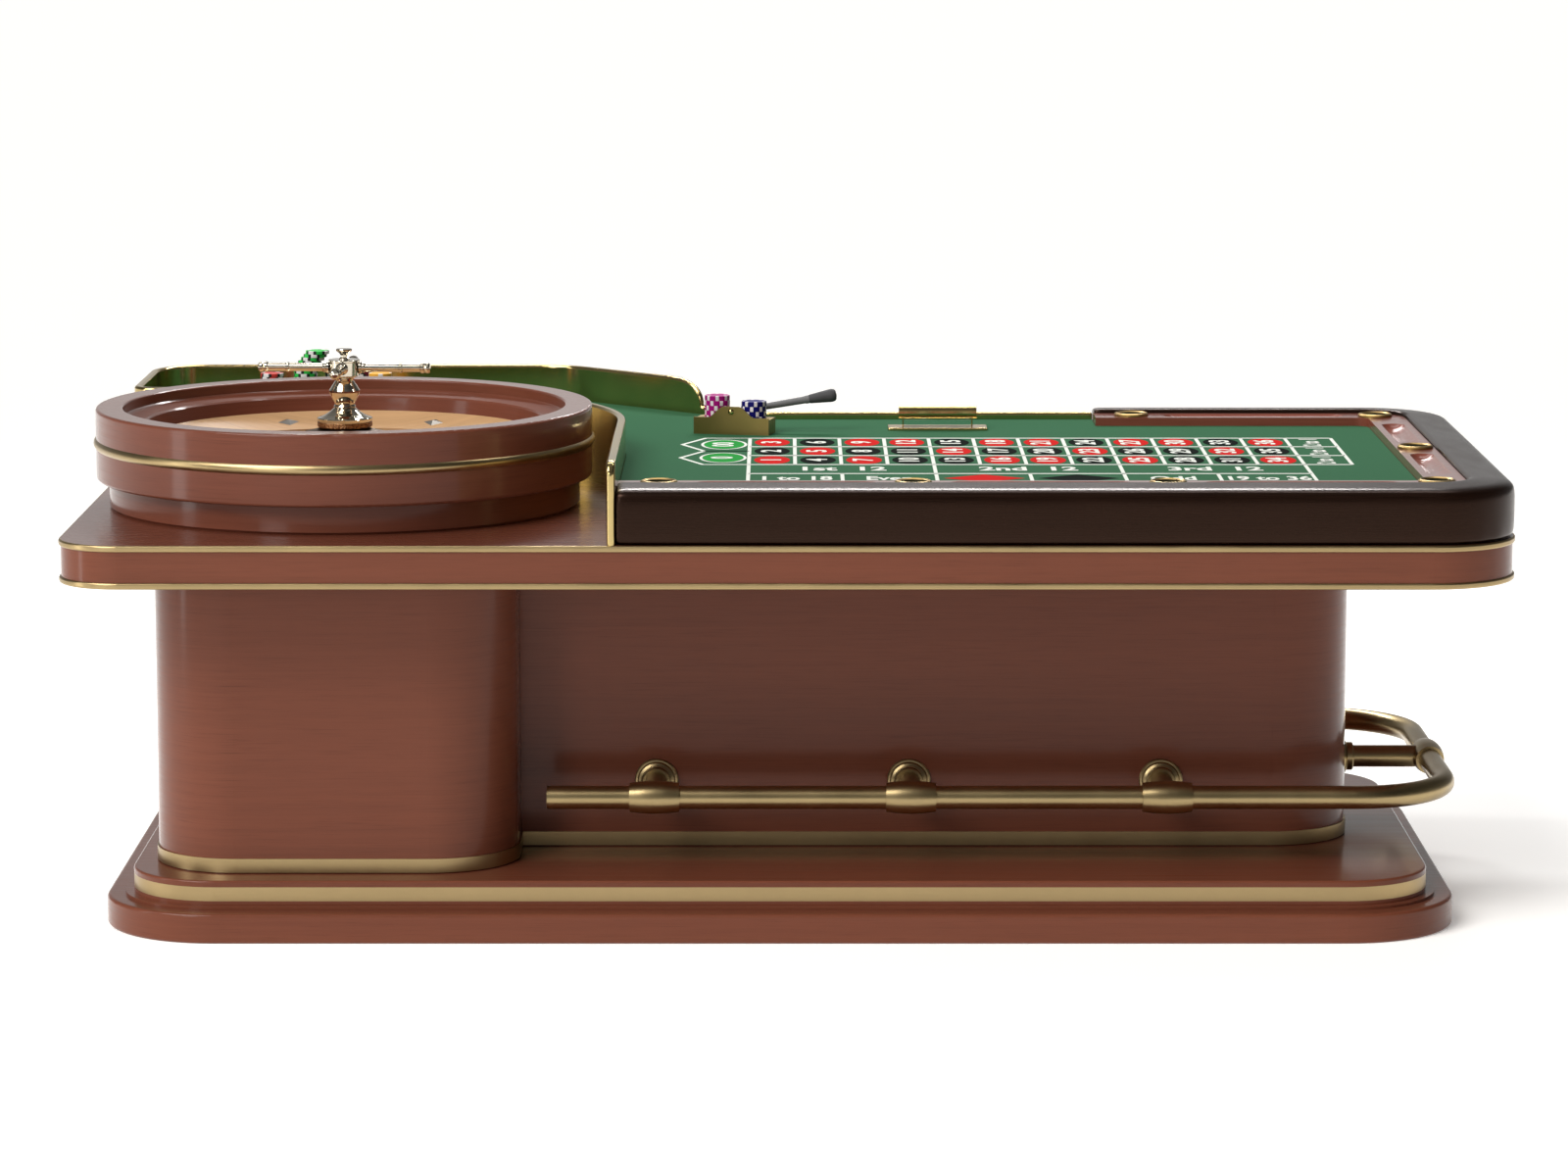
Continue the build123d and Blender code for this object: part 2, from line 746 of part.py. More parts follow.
def pocket_frets():
    length = POCKET_OUTER - POCKET_INNER - 0.2
    middle = (POCKET_OUTER + POCKET_INNER) / 2
    height = FRET_TOP - POCKET_FLOOR
    fret = Pos(middle, 0, POCKET_FLOOR + height / 2) * Box(length, FRET_THICKNESS, height)
    step = 360 / POCKETS
    return [at_wheel(Rot(0, 0, (index + 0.5) * step) * fret) for index in range(POCKETS)]


def star_plate():
    foot = Pos(0, 0, 811) * Rot(0, 0, 45) * Rectangle(99, 99)
    crown = Pos(0, 0, 818.4) * Rot(0, 0, 45) * Rectangle(50, 50)
    skirt = Pos(0, 0, 806) * Rot(0, 0, 45) * Rectangle(99, 99)
    plate = extrude(skirt, 5) + loft([foot, crown])
    return at_wheel(plate) - rotor_cone() - at_wheel(Cylinder(30, 4000))


def turret_flange():
    return at_wheel(
        turned((0, TURRET_BOTTOM), (47, TURRET_BOTTOM), (48, 820), (48, 827), (47, 828), (0, 828))
    )


def turret_bell():
    return at_wheel(
        turned(
            (0, 828),
            (46, 828),
            (46, 829),
            (48.6, 830),
            (48.6, 833.5),
            (47, 835),
            (42, 836.5),
            (35, 839.5),
            (28, 844),
            (23, 848),
            (20.5, 850.5),
            (17.5, 852),
            (0, 852),
        )
    )


def turret_column():
    return at_wheel(
        turned(
            (0, 852),
            (18.5, 852),
            (19.5, 854),
            (18.5, 856),
            (17, 858),
            (18, 861),
            (21.5, 867),
            (25, 874),
            (27, 879.5),
            (27, 882.5),
            (24.5, 886),
            (21, 892),
            (17.5, 897),
            (15.7, 899.6),
            (0, 899.6),
        )
    )


def turret_hub():
    return at_wheel(
        turned(
            (0, 899.6),
            (15.7, 899.6),
            (16.5, 903),
            (20, 906),
            (HUB_RADIUS - 1, 908),
            (HUB_RADIUS, 909),
            (HUB_RADIUS, 932.5),
            (HUB_RADIUS + 1.3, 933.5),
            (HUB_RADIUS + 1.3, 935.6),
            (HUB_RADIUS + 0.5, 936.6),
            (0, 936.6),
        )
    )


def turret_arm(tip):
    """One arm along +X, with its collars and its finial tip."""
    hub = HUB_RADIUS + 0.1
    collar = tip - 56
    rod = turned(
        (0, hub),
        (11, hub),
        (11, hub + 3),
        (9, hub + 5),
        (9, hub + 9),
        (ARM_ROD, hub + 11),
        (ARM_ROD, collar),
        (ARM_COLLAR, collar + 1.5),
        (ARM_COLLAR, collar + 5),
        (ARM_ROD, collar + 6.5),
        (ARM_ROD, tip - 18.5),
        (9.6, tip - 16.5),
        (9.6, tip - 12.5),
        (7.6, tip - 10.5),
        (9.3, tip - 7.5),
        (9.3, tip - 4),
        (6.5, tip - 0.9),
        (0, tip),
    )
    return Rot(0, 90, 0) * rod


def turret_arms():
    """Two long arms and two short ones, in a cross."""
    hub = turret_hub()
    placed = []
    for index, tip in enumerate(ARM_TIPS):
        turn = Rot(0, 0, ARM_TURN + index * 90)
        placed.append(at_wheel(Pos(0, 0, ARM_HEIGHT) * turn * turret_arm(tip)) - hub)
    return placed


def turret_knob():
    return at_wheel(
        turned(
            (0, 936.6),
            (9, 936.6),
            (9, 938.5),
            (6.2, 941),
            (6.2, 944),
            (9, 948),
            (13.4, 951.5),
            (14.2, 953.5),
            (13.4, 955.4),
            (0, 956),
        )
    )


def ball():
    middle = (POCKET_OUTER + POCKET_INNER) / 2
    place = Rot(0, 0, 360 / POCKETS * 14) * Pos(middle, 0, POCKET_FLOOR + BALL_RADIUS)
    return at_wheel(place * Sphere(BALL_RADIUS))


# ---- foot rail ---------------------------------------------------------------------------


def tube_path():
    points = (
        (TUBE_FRONT_END, TUBE_FRONT, TUBE_HEIGHT),
        (TUBE_RIGHT, TUBE_FRONT, TUBE_HEIGHT),
        (TUBE_RIGHT, TUBE_BACK, TUBE_HEIGHT),
        (TUBE_BACK_END, TUBE_BACK, TUBE_HEIGHT),
    )
    return FilletPolyline(*points, radius=TUBE_BEND)


def foot_rail_tube():
    path = tube_path()
    section = Plane(origin=path @ 0, z_dir=path % 0)
    ring = section * (Circle(TUBE_RADIUS) - Circle(TUBE_RADIUS - TUBE_WALL))
    return sweep(ring, path=path.wire())


def foot_rail_plugs():
    """Turned plugs that close the tube's two open ends."""
    plug = Rot(0, 90, 0) * (
        Pos(0, 0, 9.5) * Cylinder(TUBE_RADIUS - TUBE_WALL - 0.05, 20)
        + Pos(0, 0, -1.5) * Cylinder(TUBE_RADIUS - 0.5, 2)
    )
    places = ((TUBE_FRONT_END, TUBE_FRONT), (TUBE_BACK_END, TUBE_BACK))
    return [Pos(x, y, TUBE_HEIGHT) * plug for x, y in places]


def brackets(shape):
    """A bracket's piece at each bracket. As drawn, the tube runs along X and the wall is at +Y."""
    placed = [Pos(x, TUBE_FRONT, TUBE_HEIGHT) * shape for x in FRONT_BRACKETS]
    placed.append(Pos(TUBE_RIGHT, SIDE_BRACKET, TUBE_HEIGHT) * Rot(0, 0, 90) * shape)
    placed.append(Pos(BACK_BRACKET, TUBE_BACK, TUBE_HEIGHT) * Rot(0, 0, 180) * shape)
    return placed


def clamp_envelope():
    half = CLAMP_LENGTH / 2
    curve = ThreePointArc((CLAMP_END, -half), (CLAMP_MIDDLE, 0), (CLAMP_END, half))
    rest = Polyline((CLAMP_END, half), (0, half), (0, -half), (CLAMP_END, -half))
    body = revolve(Plane.XZ * make_face([curve, *rest.edges()]), Axis.Z)
    return Rot(0, 90, 0) * body


def rail_clamps():
    bore = Rot(0, 90, 0) * Cylinder(TUBE_RADIUS + 0.05, 2 * CLAMP_LENGTH)
    return brackets(clamp_envelope() - bore)


def standoff():
    return MAIN_PEDESTAL[2] - TUBE_FRONT


def rail_stems():
    near, far = 10, standoff() - ROSETTE_DEPTH
    stem = Rot(-90, 0, 0) * Pos(0, 0, (near + far) / 2) * Cylinder(STEM_RADIUS, far - near)
    return brackets(stem - clamp_envelope())


def rail_rosettes():
    wall = standoff()
    body = turned(
        (0, 0),
        (38, 0),
        (38, 4),
        (36, 6),
        (33, 6.5),
        (31, 9.5),
        (27, 11.5),
        (25, 13),
        (25, ROSETTE_DEPTH - 1.5),
        (23.5, ROSETTE_DEPTH),
        (0, ROSETTE_DEPTH),
    )
    return brackets(Pos(0, wall, 0) * Rot(90, 0, 0) * body)


# ---- chip tray, chips and lever ----------------------------------------------------------


def at_tray(shape):
    x, y = TRAY_PLACE
    return Pos(x, y, FELT_TOP) * Rot(0, 0, TRAY_TURN) * shape


def tray_point(along, behind):
    place = at_tray(Pos(along, behind) * Vertex()).center()
    return place.X, place.Y


def lever_ears():
    x, y, z = LEVER_PIVOT
    ears = []
    for side in (-1, 1):
        middle = y + side * (EAR_GAP + EAR_THICKNESS) / 2
        ear = bar(
            x - 8, x + 8, middle - EAR_THICKNESS / 2, middle + EAR_THICKNESS / 2, FELT_TOP, z + 8
        )
        ears.append(ear - Pos(x, y, z) * Rot(90, 0, 0) * Cylinder(LEVER_PIN + 0.05, 4 * EAR_GAP))
    outer = EAR_GAP / 2 + EAR_THICKNESS
    foot = bar(x - 8, x + 8, y - outer, y + outer, FELT_TOP, FELT_TOP + 12)
    return [*ears, foot]


def chip_tray_body():
    block = bar(0, TRAY_LENGTH, TRAY_PLATE + 0.1, TRAY_DEPTH, 0, TRAY_HEIGHT)
    block = fillet(block.edges().filter_by(Axis.Z).sort_by(Axis.Y)[-2:], 8)
    wells = [
        Pos(along, behind, TRAY_FLOOR - FELT_TOP + 50) * Cylinder(WELL_RADIUS, 100)
        for along, behind in TRAY_WELLS
    ]
    x, y, z = LEVER_PIVOT
    room = bar(x - 12, x + 45, y - EAR_GAP / 2, y + EAR_GAP / 2, z - 16, z + 20)
    return at_tray(block - wells) - room + lever_ears()


def chip_tray_plate():
    """The brass end plate, with a rounded hump in the middle of its top edge."""
    middle = TRAY_LENGTH / 2
    shoulder, slope = 40.0, 18.0
    outline = FilletPolyline(
        (0, 0),
        (TRAY_LENGTH, 0),
        (TRAY_LENGTH, TRAY_PLATE_HEIGHT),
        (middle + shoulder, TRAY_PLATE_HEIGHT),
        (middle + slope, TRAY_HUMP),
        (middle - slope, TRAY_HUMP),
        (middle - shoulder, TRAY_PLATE_HEIGHT),
        (0, TRAY_PLATE_HEIGHT),
        radius=(0, 0, 0, 12, 14, 14, 12, 0),
        close=True,
    )
    plate = extrude(Plane.XZ * make_face(outline.edges()), -TRAY_PLATE)
    bore = Pos(middle, 0, TRAY_HUMP - 9) * Rot(90, 0, 0) * Cylinder(3.05, 30)
    return at_tray(plate - bore)


def chip_tray_screw():
    middle = TRAY_LENGTH / 2
    screw = turned((0, -6), (3, -6), (3, 4), (5.5, 4), (5.5, 5), (3.5, 7), (0, 7.6))
    return at_tray(Pos(middle, TRAY_PLATE, TRAY_HUMP - 9) * Rot(90, 0, 0) * screw)


def stack(x, y, bottom, count, radius, thickness, lean=()):
    """A pile of chips. lean holds how far each chip stands out, from the top one down."""
    chips = []
    for index in range(count):
        from_top = count - 1 - index
        shift = lean[min(from_top, len(lean) - 1)] if lean else 0
        middle = bottom + (index + 0.5) * thickness
        chips.append(Pos(x + shift, y, middle) * Cylinder(radius, thickness - CHIP_GAP))
    return chips


def tray_chips(well):
    x, y = tray_point(*TRAY_WELLS[well])
    count = TRAY_CHIP_COUNTS[well]
    return stack(x, y, TRAY_FLOOR + CHIP_GAP, count, TRAY_CHIP_RADIUS, TRAY_CHIP_THICKNESS)


def chips_pink():
    return tray_chips(0)


def chips_blue():
    return tray_chips(1)


def chips_green():
    x, y = GREEN_STACK
    return stack(x, y, FELT_TOP, GREEN_COUNT, CHIP_RADIUS, CHIP_THICKNESS, GREEN_LEAN)


def chips_wing():
    chips = []
    for x, y, count in WING_STACKS:
        chips += stack(x, y, FELT_TOP, count, CHIP_RADIUS, CHIP_THICKNESS)
    return chips


def lever_place(shape):
    """Lays a shape drawn along +Z from the lever's pivot along the resting lever."""
    return Pos(*LEVER_PIVOT) * Rot(0, 90 - LEVER_RISE, 0) * shape


def lever_rod():
    eye = Rot(90, 0, 0) * Cylinder(LEVER_EYE, EAR_GAP - 1)
    pin = Rot(90, 0, 0) * Cylinder(LEVER_PIN, EAR_GAP + 2 * EAR_THICKNESS + 2)
    rod = turned(
        (0, 0),
        (5, 0),
        (LEVER_ROD, 12),
        (LEVER_ROD + 0.8, LEVER_GRIP_START - 8),
        (7.6, LEVER_GRIP_START - 7),
        (7.6, LEVER_GRIP_START),
        (0, LEVER_GRIP_START),
    )
    return lever_place(rod + eye + pin)


def lever_grip():
    start = LEVER_GRIP_START
    tip = LEVER_TIP
    return lever_place(
        turned(
            (0, start),
            (7.4, start),
            (8.2, start + 2),
            (11.6, tip - 16),
            (12.2, tip - 9),
            (11, tip - 4),
            (8, tip - 1.2),
            (0, tip),
        )
    )


# ---- money slot, paddle and drop box -----------------------------------------------------


def at_slot(shape):
    return Pos(SLOT_X, SLOT_Y) * shape


def chute_hole(bottom, top):
    """The cut-out in the bed, deck and felt that the chute passes through."""
    length = SLOT_LENGTH + 2 * CHUTE_WALL + 0.4
    width = SLOT_WIDTH + 2 * CHUTE_WALL + 0.4
    return at_slot(slab(Rectangle(length, width), bottom - 1, top + 1))


def drop_slot_plate():
    length, width, height = SLOT_PLATE
    plate = slab(RectangleRounded(length, width, 4), FELT_TOP, FELT_TOP + height)
    plate = softened(plate, 2.5, FELT_TOP + height, FELT_TOP + height)
    return at_slot(plate - slab(SlotOverall(SLOT_LENGTH, SLOT_WIDTH), FELT_TOP - 1, FELT_TOP + 9))


def drop_chute():
    outer = Rectangle(SLOT_LENGTH + 2 * CHUTE_WALL, SLOT_WIDTH + 2 * CHUTE_WALL)
    wall = outer - Rectangle(SLOT_LENGTH, SLOT_WIDTH)
    return at_slot(slab(wall, CHUTE_BOTTOM, FELT_TOP))


def paddle_blade():
    length, width = BLADE
    blade = slab(Rectangle(length, width), BLADE_BOTTOM, BLADE_TOP)
    return at_slot(chamfer(blade.edges().group_by(Axis.Z)[0], 2))


def paddle_handle():
    """The brass cap on the blade, with the two pins that it stands on."""
    length, width = HANDLE
    cap = slab(Rectangle(length, width), HANDLE_BOTTOM, HANDLE_TOP)
    cap = fillet(cap.edges().filter_by(Axis.X), HANDLE_ROUND)
    blade_length, blade_width = BLADE
    socket = slab(Rectangle(blade_length + 0.1, blade_width + 0.1), HANDLE_BOTTOM, BLADE_TOP + 0.1)
    plate_top = FELT_TOP + SLOT_PLATE[2]
    reach = blade_length / 2 + 2 * PIN_RADIUS + 0.4
    pins = [
        Pos(side * reach, 0, (plate_top + HANDLE_BOTTOM) / 2 + 0.2)
        * Cylinder(PIN_RADIUS, HANDLE_BOTTOM - plate_top - 0.4 + 0.4)
        for side in (-1, 1)
    ]
    return at_slot(cap - socket), [at_slot(pin) for pin in pins]


def box_bounds(shrink=0.0):
    width, depth, height = BOX_SIZE
    return (
        SLOT_X - width / 2 + shrink,
        SLOT_X + width / 2 - shrink,
        SLOT_Y - depth / 2 + shrink,
        SLOT_Y + depth / 2 - shrink,
        BOX_TOP - height + shrink,
        BOX_TOP - shrink,
    )


def drop_box_shell():
    left, right, front, rear, bottom, top = box_bounds()
    shell = bar(left, right, front, rear, bottom, top) - bar(*box_bounds(BOX_WALL))
    flanges = [
        bar(left - BOX_FLANGE, left, front, rear, top - RUNNER, top),
        bar(right, right + BOX_FLANGE, front, rear, top - RUNNER, top),
    ]
    mouth = at_slot(slab(Rectangle(SLOT_LENGTH, SLOT_WIDTH + 8), top - 10, top + 10))
    doorway = bar(
        left + 14, right - 14, rear - 2 * BOX_WALL, rear + 5, bottom + 14, top - 24
    )
    return shell + flanges - mouth - doorway


def drop_box_door():
    left, right, _, rear, bottom, top = box_bounds()
    door = bar(left + 6, right - 6, rear + 0.2, rear + 3.2, bottom + 6, top - 14)
    lock = Pos(SLOT_X + 52, rear + 5.2, top - 60) * Rot(90, 0, 0) * Cylinder(9, 4)
    return door + lock


def drop_box_handle():
    rear = box_bounds()[3] + 3.4
    height = BOX_TOP - 150
    half = 45
    path = FilletPolyline(
        (SLOT_X - half, rear, height),
        (SLOT_X - half, rear + 28, height),
        (SLOT_X + half, rear + 28, height),
        (SLOT_X + half, rear, height),
        radius=12,
    )
    section = Plane(origin=path @ 0, z_dir=path % 0) * Circle(4)
    return sweep(section, path=path.wire())


def drop_box_runners():
    """Two angles under the deck that carry the drop box by its flanges."""
    left, right, front, rear, _, top = box_bounds()
    gap = 0.4
    runners = []
    for side, edge in ((-1, left - BOX_FLANGE - gap), (1, right + BOX_FLANGE + gap)):
        web = sorted((edge, edge + side * RUNNER))
        lip = sorted((edge + side * RUNNER, edge - side * (BOX_FLANGE - 2)))
        low = top - RUNNER - gap - RUNNER
        upright = bar(*web, front, rear, low, DECK_BOTTOM)
        runners.append(upright + bar(*lip, front, rear, low, low + RUNNER))
    return runners


# ---- writing the parts -------------------------------------------------------------------

PARTS = (
    base_slab,
    base_band,
    base_upper_tier,
    wheel_pedestal,
    wheel_pedestal_band,
    main_pedestal,
    main_pedestal_band,
    apron_frame,
    deck_panel,
    apron_bead_upper,
    apron_bead_lower,
    bed_ribs,
    bed_panel,
    felt_cloth,
    padded_rail,
    rail_shelf,
    cup_holders,
    guard_fence,
    wheel_base,
    wheel_rim,
    wheel_bead,
    ball_track,
    stator_apron,
    deflectors,
    spindle,
    rotor_cone,
    rotor_bearings,
    pocket_ring,
    number_ring,
    pocket_frets,
    star_plate,
    turret_flange,
    turret_bell,
    turret_column,
    turret_hub,
    turret_arms,
    turret_knob,
    ball,
    foot_rail_tube,
    foot_rail_plugs,
    rail_clamps,
    rail_stems,
    rail_rosettes,
    chip_tray_body,
    chip_tray_plate,
    chip_tray_screw,
    chips_pink,
    chips_blue,
    chips_green,
    chips_wing,
    lever_rod,
    lever_grip,
    drop_slot_plate,
    drop_chute,
    paddle_blade,
    paddle_handle,
    drop_box_shell,
    drop_box_door,
    drop_box_handle,
    drop_box_runners,
)


def solids_of(made):
    """Every solid in a shape, or in a list of shapes."""
    if isinstance(made, (list, tuple)):
        return [solid for piece in made for solid in solids_of(piece)]
    return list(made.solids())


os.makedirs("parts", exist_ok=True)
for part in PARTS:
    export_step(Compound(children=solids_of(part())), f"parts/{part.__name__}.step")
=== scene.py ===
import math
import random

import bmesh
import bpy
from mathutils import Matrix, Vector


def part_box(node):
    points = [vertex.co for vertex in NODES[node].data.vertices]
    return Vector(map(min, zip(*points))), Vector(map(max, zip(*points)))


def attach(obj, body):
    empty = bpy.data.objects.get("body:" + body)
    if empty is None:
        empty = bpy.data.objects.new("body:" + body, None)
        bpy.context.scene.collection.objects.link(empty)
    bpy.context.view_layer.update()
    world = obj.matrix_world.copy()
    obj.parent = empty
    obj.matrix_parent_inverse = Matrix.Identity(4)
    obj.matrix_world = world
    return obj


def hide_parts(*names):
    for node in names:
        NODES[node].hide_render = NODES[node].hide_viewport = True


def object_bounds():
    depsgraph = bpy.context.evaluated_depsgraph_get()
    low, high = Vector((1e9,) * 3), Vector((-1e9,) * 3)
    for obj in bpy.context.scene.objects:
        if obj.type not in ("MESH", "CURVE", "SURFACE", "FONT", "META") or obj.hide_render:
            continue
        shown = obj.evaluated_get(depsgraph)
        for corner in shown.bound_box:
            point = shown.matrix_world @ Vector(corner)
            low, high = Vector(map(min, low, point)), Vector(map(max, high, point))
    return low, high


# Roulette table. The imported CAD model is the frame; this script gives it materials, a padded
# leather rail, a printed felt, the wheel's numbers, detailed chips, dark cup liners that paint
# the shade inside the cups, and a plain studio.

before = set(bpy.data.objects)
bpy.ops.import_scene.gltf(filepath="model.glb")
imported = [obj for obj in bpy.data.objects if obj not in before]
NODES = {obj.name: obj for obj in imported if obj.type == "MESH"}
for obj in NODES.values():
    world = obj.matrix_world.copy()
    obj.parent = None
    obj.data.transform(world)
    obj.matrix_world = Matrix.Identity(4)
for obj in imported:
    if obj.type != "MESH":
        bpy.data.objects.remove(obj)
CAD_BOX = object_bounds()

FRONT = CAD_BOX[0][1]
FELT_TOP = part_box("felt_cloth")[1][2]
RIM_LOW, RIM_HIGH = (Vector(corner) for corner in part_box("wheel_rim"))
WHEEL = (RIM_LOW + RIM_HIGH) / 2

RED_NUMBERS = {1, 3, 5, 7, 9, 12, 14, 16, 18, 19, 21, 23, 25, 27, 30, 32, 34, 36}
WHEEL_ORDER = (
    "0 28 9 26 30 11 7 20 32 17 5 22 34 15 3 24 36 13 1 "
    "00 27 10 25 29 12 8 19 31 18 6 21 33 16 4 23 35 14 2"
).split()


def mm(x, behind):
    """A point on plan from millimetres: x from the middle, and behind the table's front."""
    return Vector((x / 1000, FRONT + behind / 1000, 0))


# ---- materials ---------------------------------------------------------------------------


def linear(code):
    """The linear colour of an sRGB hex code."""
    channels = [int(code[start : start + 2], 16) / 255 for start in (0, 2, 4)]
    return [c / 12.92 if c <= 0.04045 else ((c + 0.055) / 1.055) ** 2.4 for c in channels] + [1]


def shade(color, factor):
    return [channel * factor for channel in color[:3]] + [1]


class Surface:
    """One procedural material, with short names for the nodes that it is built from."""

    def __init__(self, name, color, roughness, metallic=0.0, **fixed):
        self.material = bpy.data.materials.new(name)
        self.material.use_nodes = True
        self.nodes = self.material.node_tree.nodes
        self.links = self.material.node_tree.links
        self.shader = self.nodes["Principled BSDF"]
        self.color = linear(color)
        self.material.diffuse_color = self.color
        self.feed("Base Color", self.color)
        self.feed("Roughness", roughness)
        self.feed("Metallic", metallic)
        for socket, value in fixed.items():
            self.feed(socket.replace("_", " "), value)

    def join(self, value, socket):
        if isinstance(value, bpy.types.NodeSocket):
            self.links.new(value, socket)
        else:
            socket.default_value = value

    def feed(self, socket, value):
        self.join(value, self.shader.inputs[socket])

    def node(self, kind, *inputs, **settings):
        made = self.nodes.new("ShaderNode" + kind)
        for name, value in settings.items():
            setattr(made, name, value)
        for key, value in inputs:
            self.join(value, made.inputs[key])
        return made

    def stretched(self, x, y, z):
        place = self.node("TexCoord").outputs["Object"]
        return self.node("Mapping", ("Vector", place), ("Scale", (x, y, z))).outputs["Vector"]

    def noise(self, vector, scale=1.0, detail=4.0, roughness=0.55, distortion=0.0):
        return self.node(
            "TexNoise",
            ("Vector", vector),
            ("Scale", scale),
            ("Detail", detail),
            ("Roughness", roughness),
            ("Distortion", distortion),
        ).outputs["Fac"]

    def even(self, scale, detail=4.0, roughness=0.55):
        """Noise without a direction."""
        return self.noise(self.stretched(1, 1, 1), scale, detail, roughness)

    def cells(self, scale, feature="F1"):
        vector = self.stretched(1, 1, 1)
        made = self.node("TexVoronoi", ("Vector", vector), ("Scale", scale), feature=feature)
        return made.outputs["Distance"]

    def math(self, operation, a, b=0.0):
        return self.node("Math", (0, a), (1, b), operation=operation).outputs[0]

    def span(self, value, low, high, start=0.3, end=0.7):
        made = self.node(
            "MapRange",
            ("Value", value),
            ("From Min", start),
            ("From Max", end),
            ("To Min", low),
            ("To Max", high),
        )
        return made.outputs["Result"]

    def mix(self, factor, a, b):
        return self.node("Mix", (0, factor), (6, a), (7, b), data_type="RGBA").outputs[2]

    def bump(self, height, strength, distance):
        made = self.node("Bump", ("Height", height), ("Strength", strength), ("Distance", distance))
        self.feed("Normal", made.outputs["Normal"])


def grain_direction(surface, along, across):
    """Long grain that lies level on walls, and runs along X where a face is nearly level."""
    nearly_level = 0.7
    wall = surface.stretched(along, along, across)
    flat = surface.stretched(along, across, along)
    normal = surface.node("NewGeometry").outputs["Normal"]
    rise = surface.node("SeparateXYZ", ("Vector", normal)).outputs["Z"]
    level = surface.math("GREATER_THAN", surface.math("ABSOLUTE", rise), nearly_level)
    made = surface.node("Mix", (0, level), (4, wall), (5, flat), data_type="VECTOR")
    return made.outputs[1]


def wood(name, color, contrast, coat=1.0, coat_roughness=0.14, roughness=0.4, gloss=1.22):
    """Lacquered wood: streaks of figure, dark pores and slow clouds of a lighter tone."""
    s = Surface(
        name,
        color,
        roughness,
        Coat_Weight=coat,
        Coat_Roughness=coat_roughness,
        Coat_IOR=gloss,
        Specular_IOR_Level=0.1,
    )
    grain = grain_direction(s, 2.2, 130.0)
    figure = s.noise(grain, 1.0, 6.0, 0.62, 0.6)
    pores = s.noise(grain, 6.0, 3.0, 0.5)
    cloud = s.even(2.3, 3.0)
    dark, light = shade(s.color, 1 - contrast), shade(s.color, 1 + contrast)
    tone = s.mix(s.span(figure, 0, 1), dark, light)
    tone = s.mix(s.span(pores, 0.0, 0.55, 0.55, 0.72), tone, shade(s.color, 0.55))
    tone = s.mix(s.span(cloud, 0.0, 0.22), tone, shade(s.color, 1.25))
    s.feed("Base Color", tone)
    s.feed("Roughness", s.span(figure, roughness - 0.05, roughness + 0.08))
    s.bump(pores, 0.12, 0.0004)
    return s.material


def brass(name, color, roughness, spread=0.08, lines=0.06):
    """Brushed brass, with uneven polish: spread is how far its roughness varies."""
    s = Surface(name, color, roughness, 1.0)
    brushed = s.noise(grain_direction(s, 6.0, 900.0), 1.0, 3.0)
    cloud = s.even(9.0)
    s.feed("Base Color", s.mix(s.span(cloud, 0, 1), shade(s.color, 0.9), shade(s.color, 1.06)))
    s.feed("Roughness", s.span(cloud, roughness, roughness + spread))
    s.bump(brushed, lines, 0.0001)
    return s.material


def leather():
    """Dark leather with a fine crease net, pores and streaks along the rail."""
    crease_width = 0.12
    s = Surface("dark_leather", "150B07", 0.3, Specular_IOR_Level=0.25)
    s.feed("Specular Tint", linear("FFCBB2"))
    streaks = s.noise(s.stretched(9, 9, 330), 1.0, 4.0, 0.6)
    creases = s.cells(520.0, "DISTANCE_TO_EDGE")
    pores = s.cells(1300.0)
    cloud = s.even(6.0)
    tone = s.mix(s.span(streaks, 0, 1), shade(s.color, 0.8), shade(s.color, 1.3))
    tone = s.mix(s.span(cloud, 0, 0.25), tone, shade(s.color, 1.6))
    s.feed("Base Color", tone)
    s.feed("Roughness", s.span(streaks, 0.22, 0.27))
    height = s.math("MULTIPLY", s.math("MINIMUM", creases, crease_width), 4.0)
    height = s.math("ADD", height, s.math("MULTIPLY", pores, 0.25))
    height = s.math("ADD", height, s.math("MULTIPLY", streaks, 0.25))
    s.bump(height, 0.06, 0.0004)
    return s.material


def felt():
    """Baize: a fine nap, brushed along the table and a little worn in places."""
    s = Surface("green_felt", "29593B", 0.95, Specular_IOR_Level=0.08, Sheen_Weight=0.03)
    nap = s.even(1400.0, 3.0, 0.7)
    brushed = s.noise(s.stretched(70, 260, 70), 1.0, 3.0)
    cloud = s.even(5.0)
    tone = s.mix(s.span(nap, 0, 1), shade(s.color, 0.86), shade(s.color, 1.14))
    tone = s.mix(s.span(brushed, 0, 0.25), tone, shade(s.color, 0.8))
    tone = s.mix(s.span(cloud, 0, 0.3), tone, shade(s.color, 1.12))
    s.feed("Base Color", tone)
    s.bump(nap, 0.35, 0.0006)
    return s.material


def ink(name, color):
    """Printing on the felt: flat colour with the nap showing through."""
    s = Surface(name, color, 0.9, Specular_IOR_Level=0.03)
    nap = s.even(1400.0, 3.0, 0.7)
    wear = s.even(60.0)
    tone = s.mix(s.span(nap, 0, 1), shade(s.color, 0.88), shade(s.color, 1.08))
    s.feed("Base Color", s.mix(s.span(wear, 0, 0.15), tone, shade(s.color, 0.75)))
    s.bump(nap, 0.3, 0.0005)
    return s.material


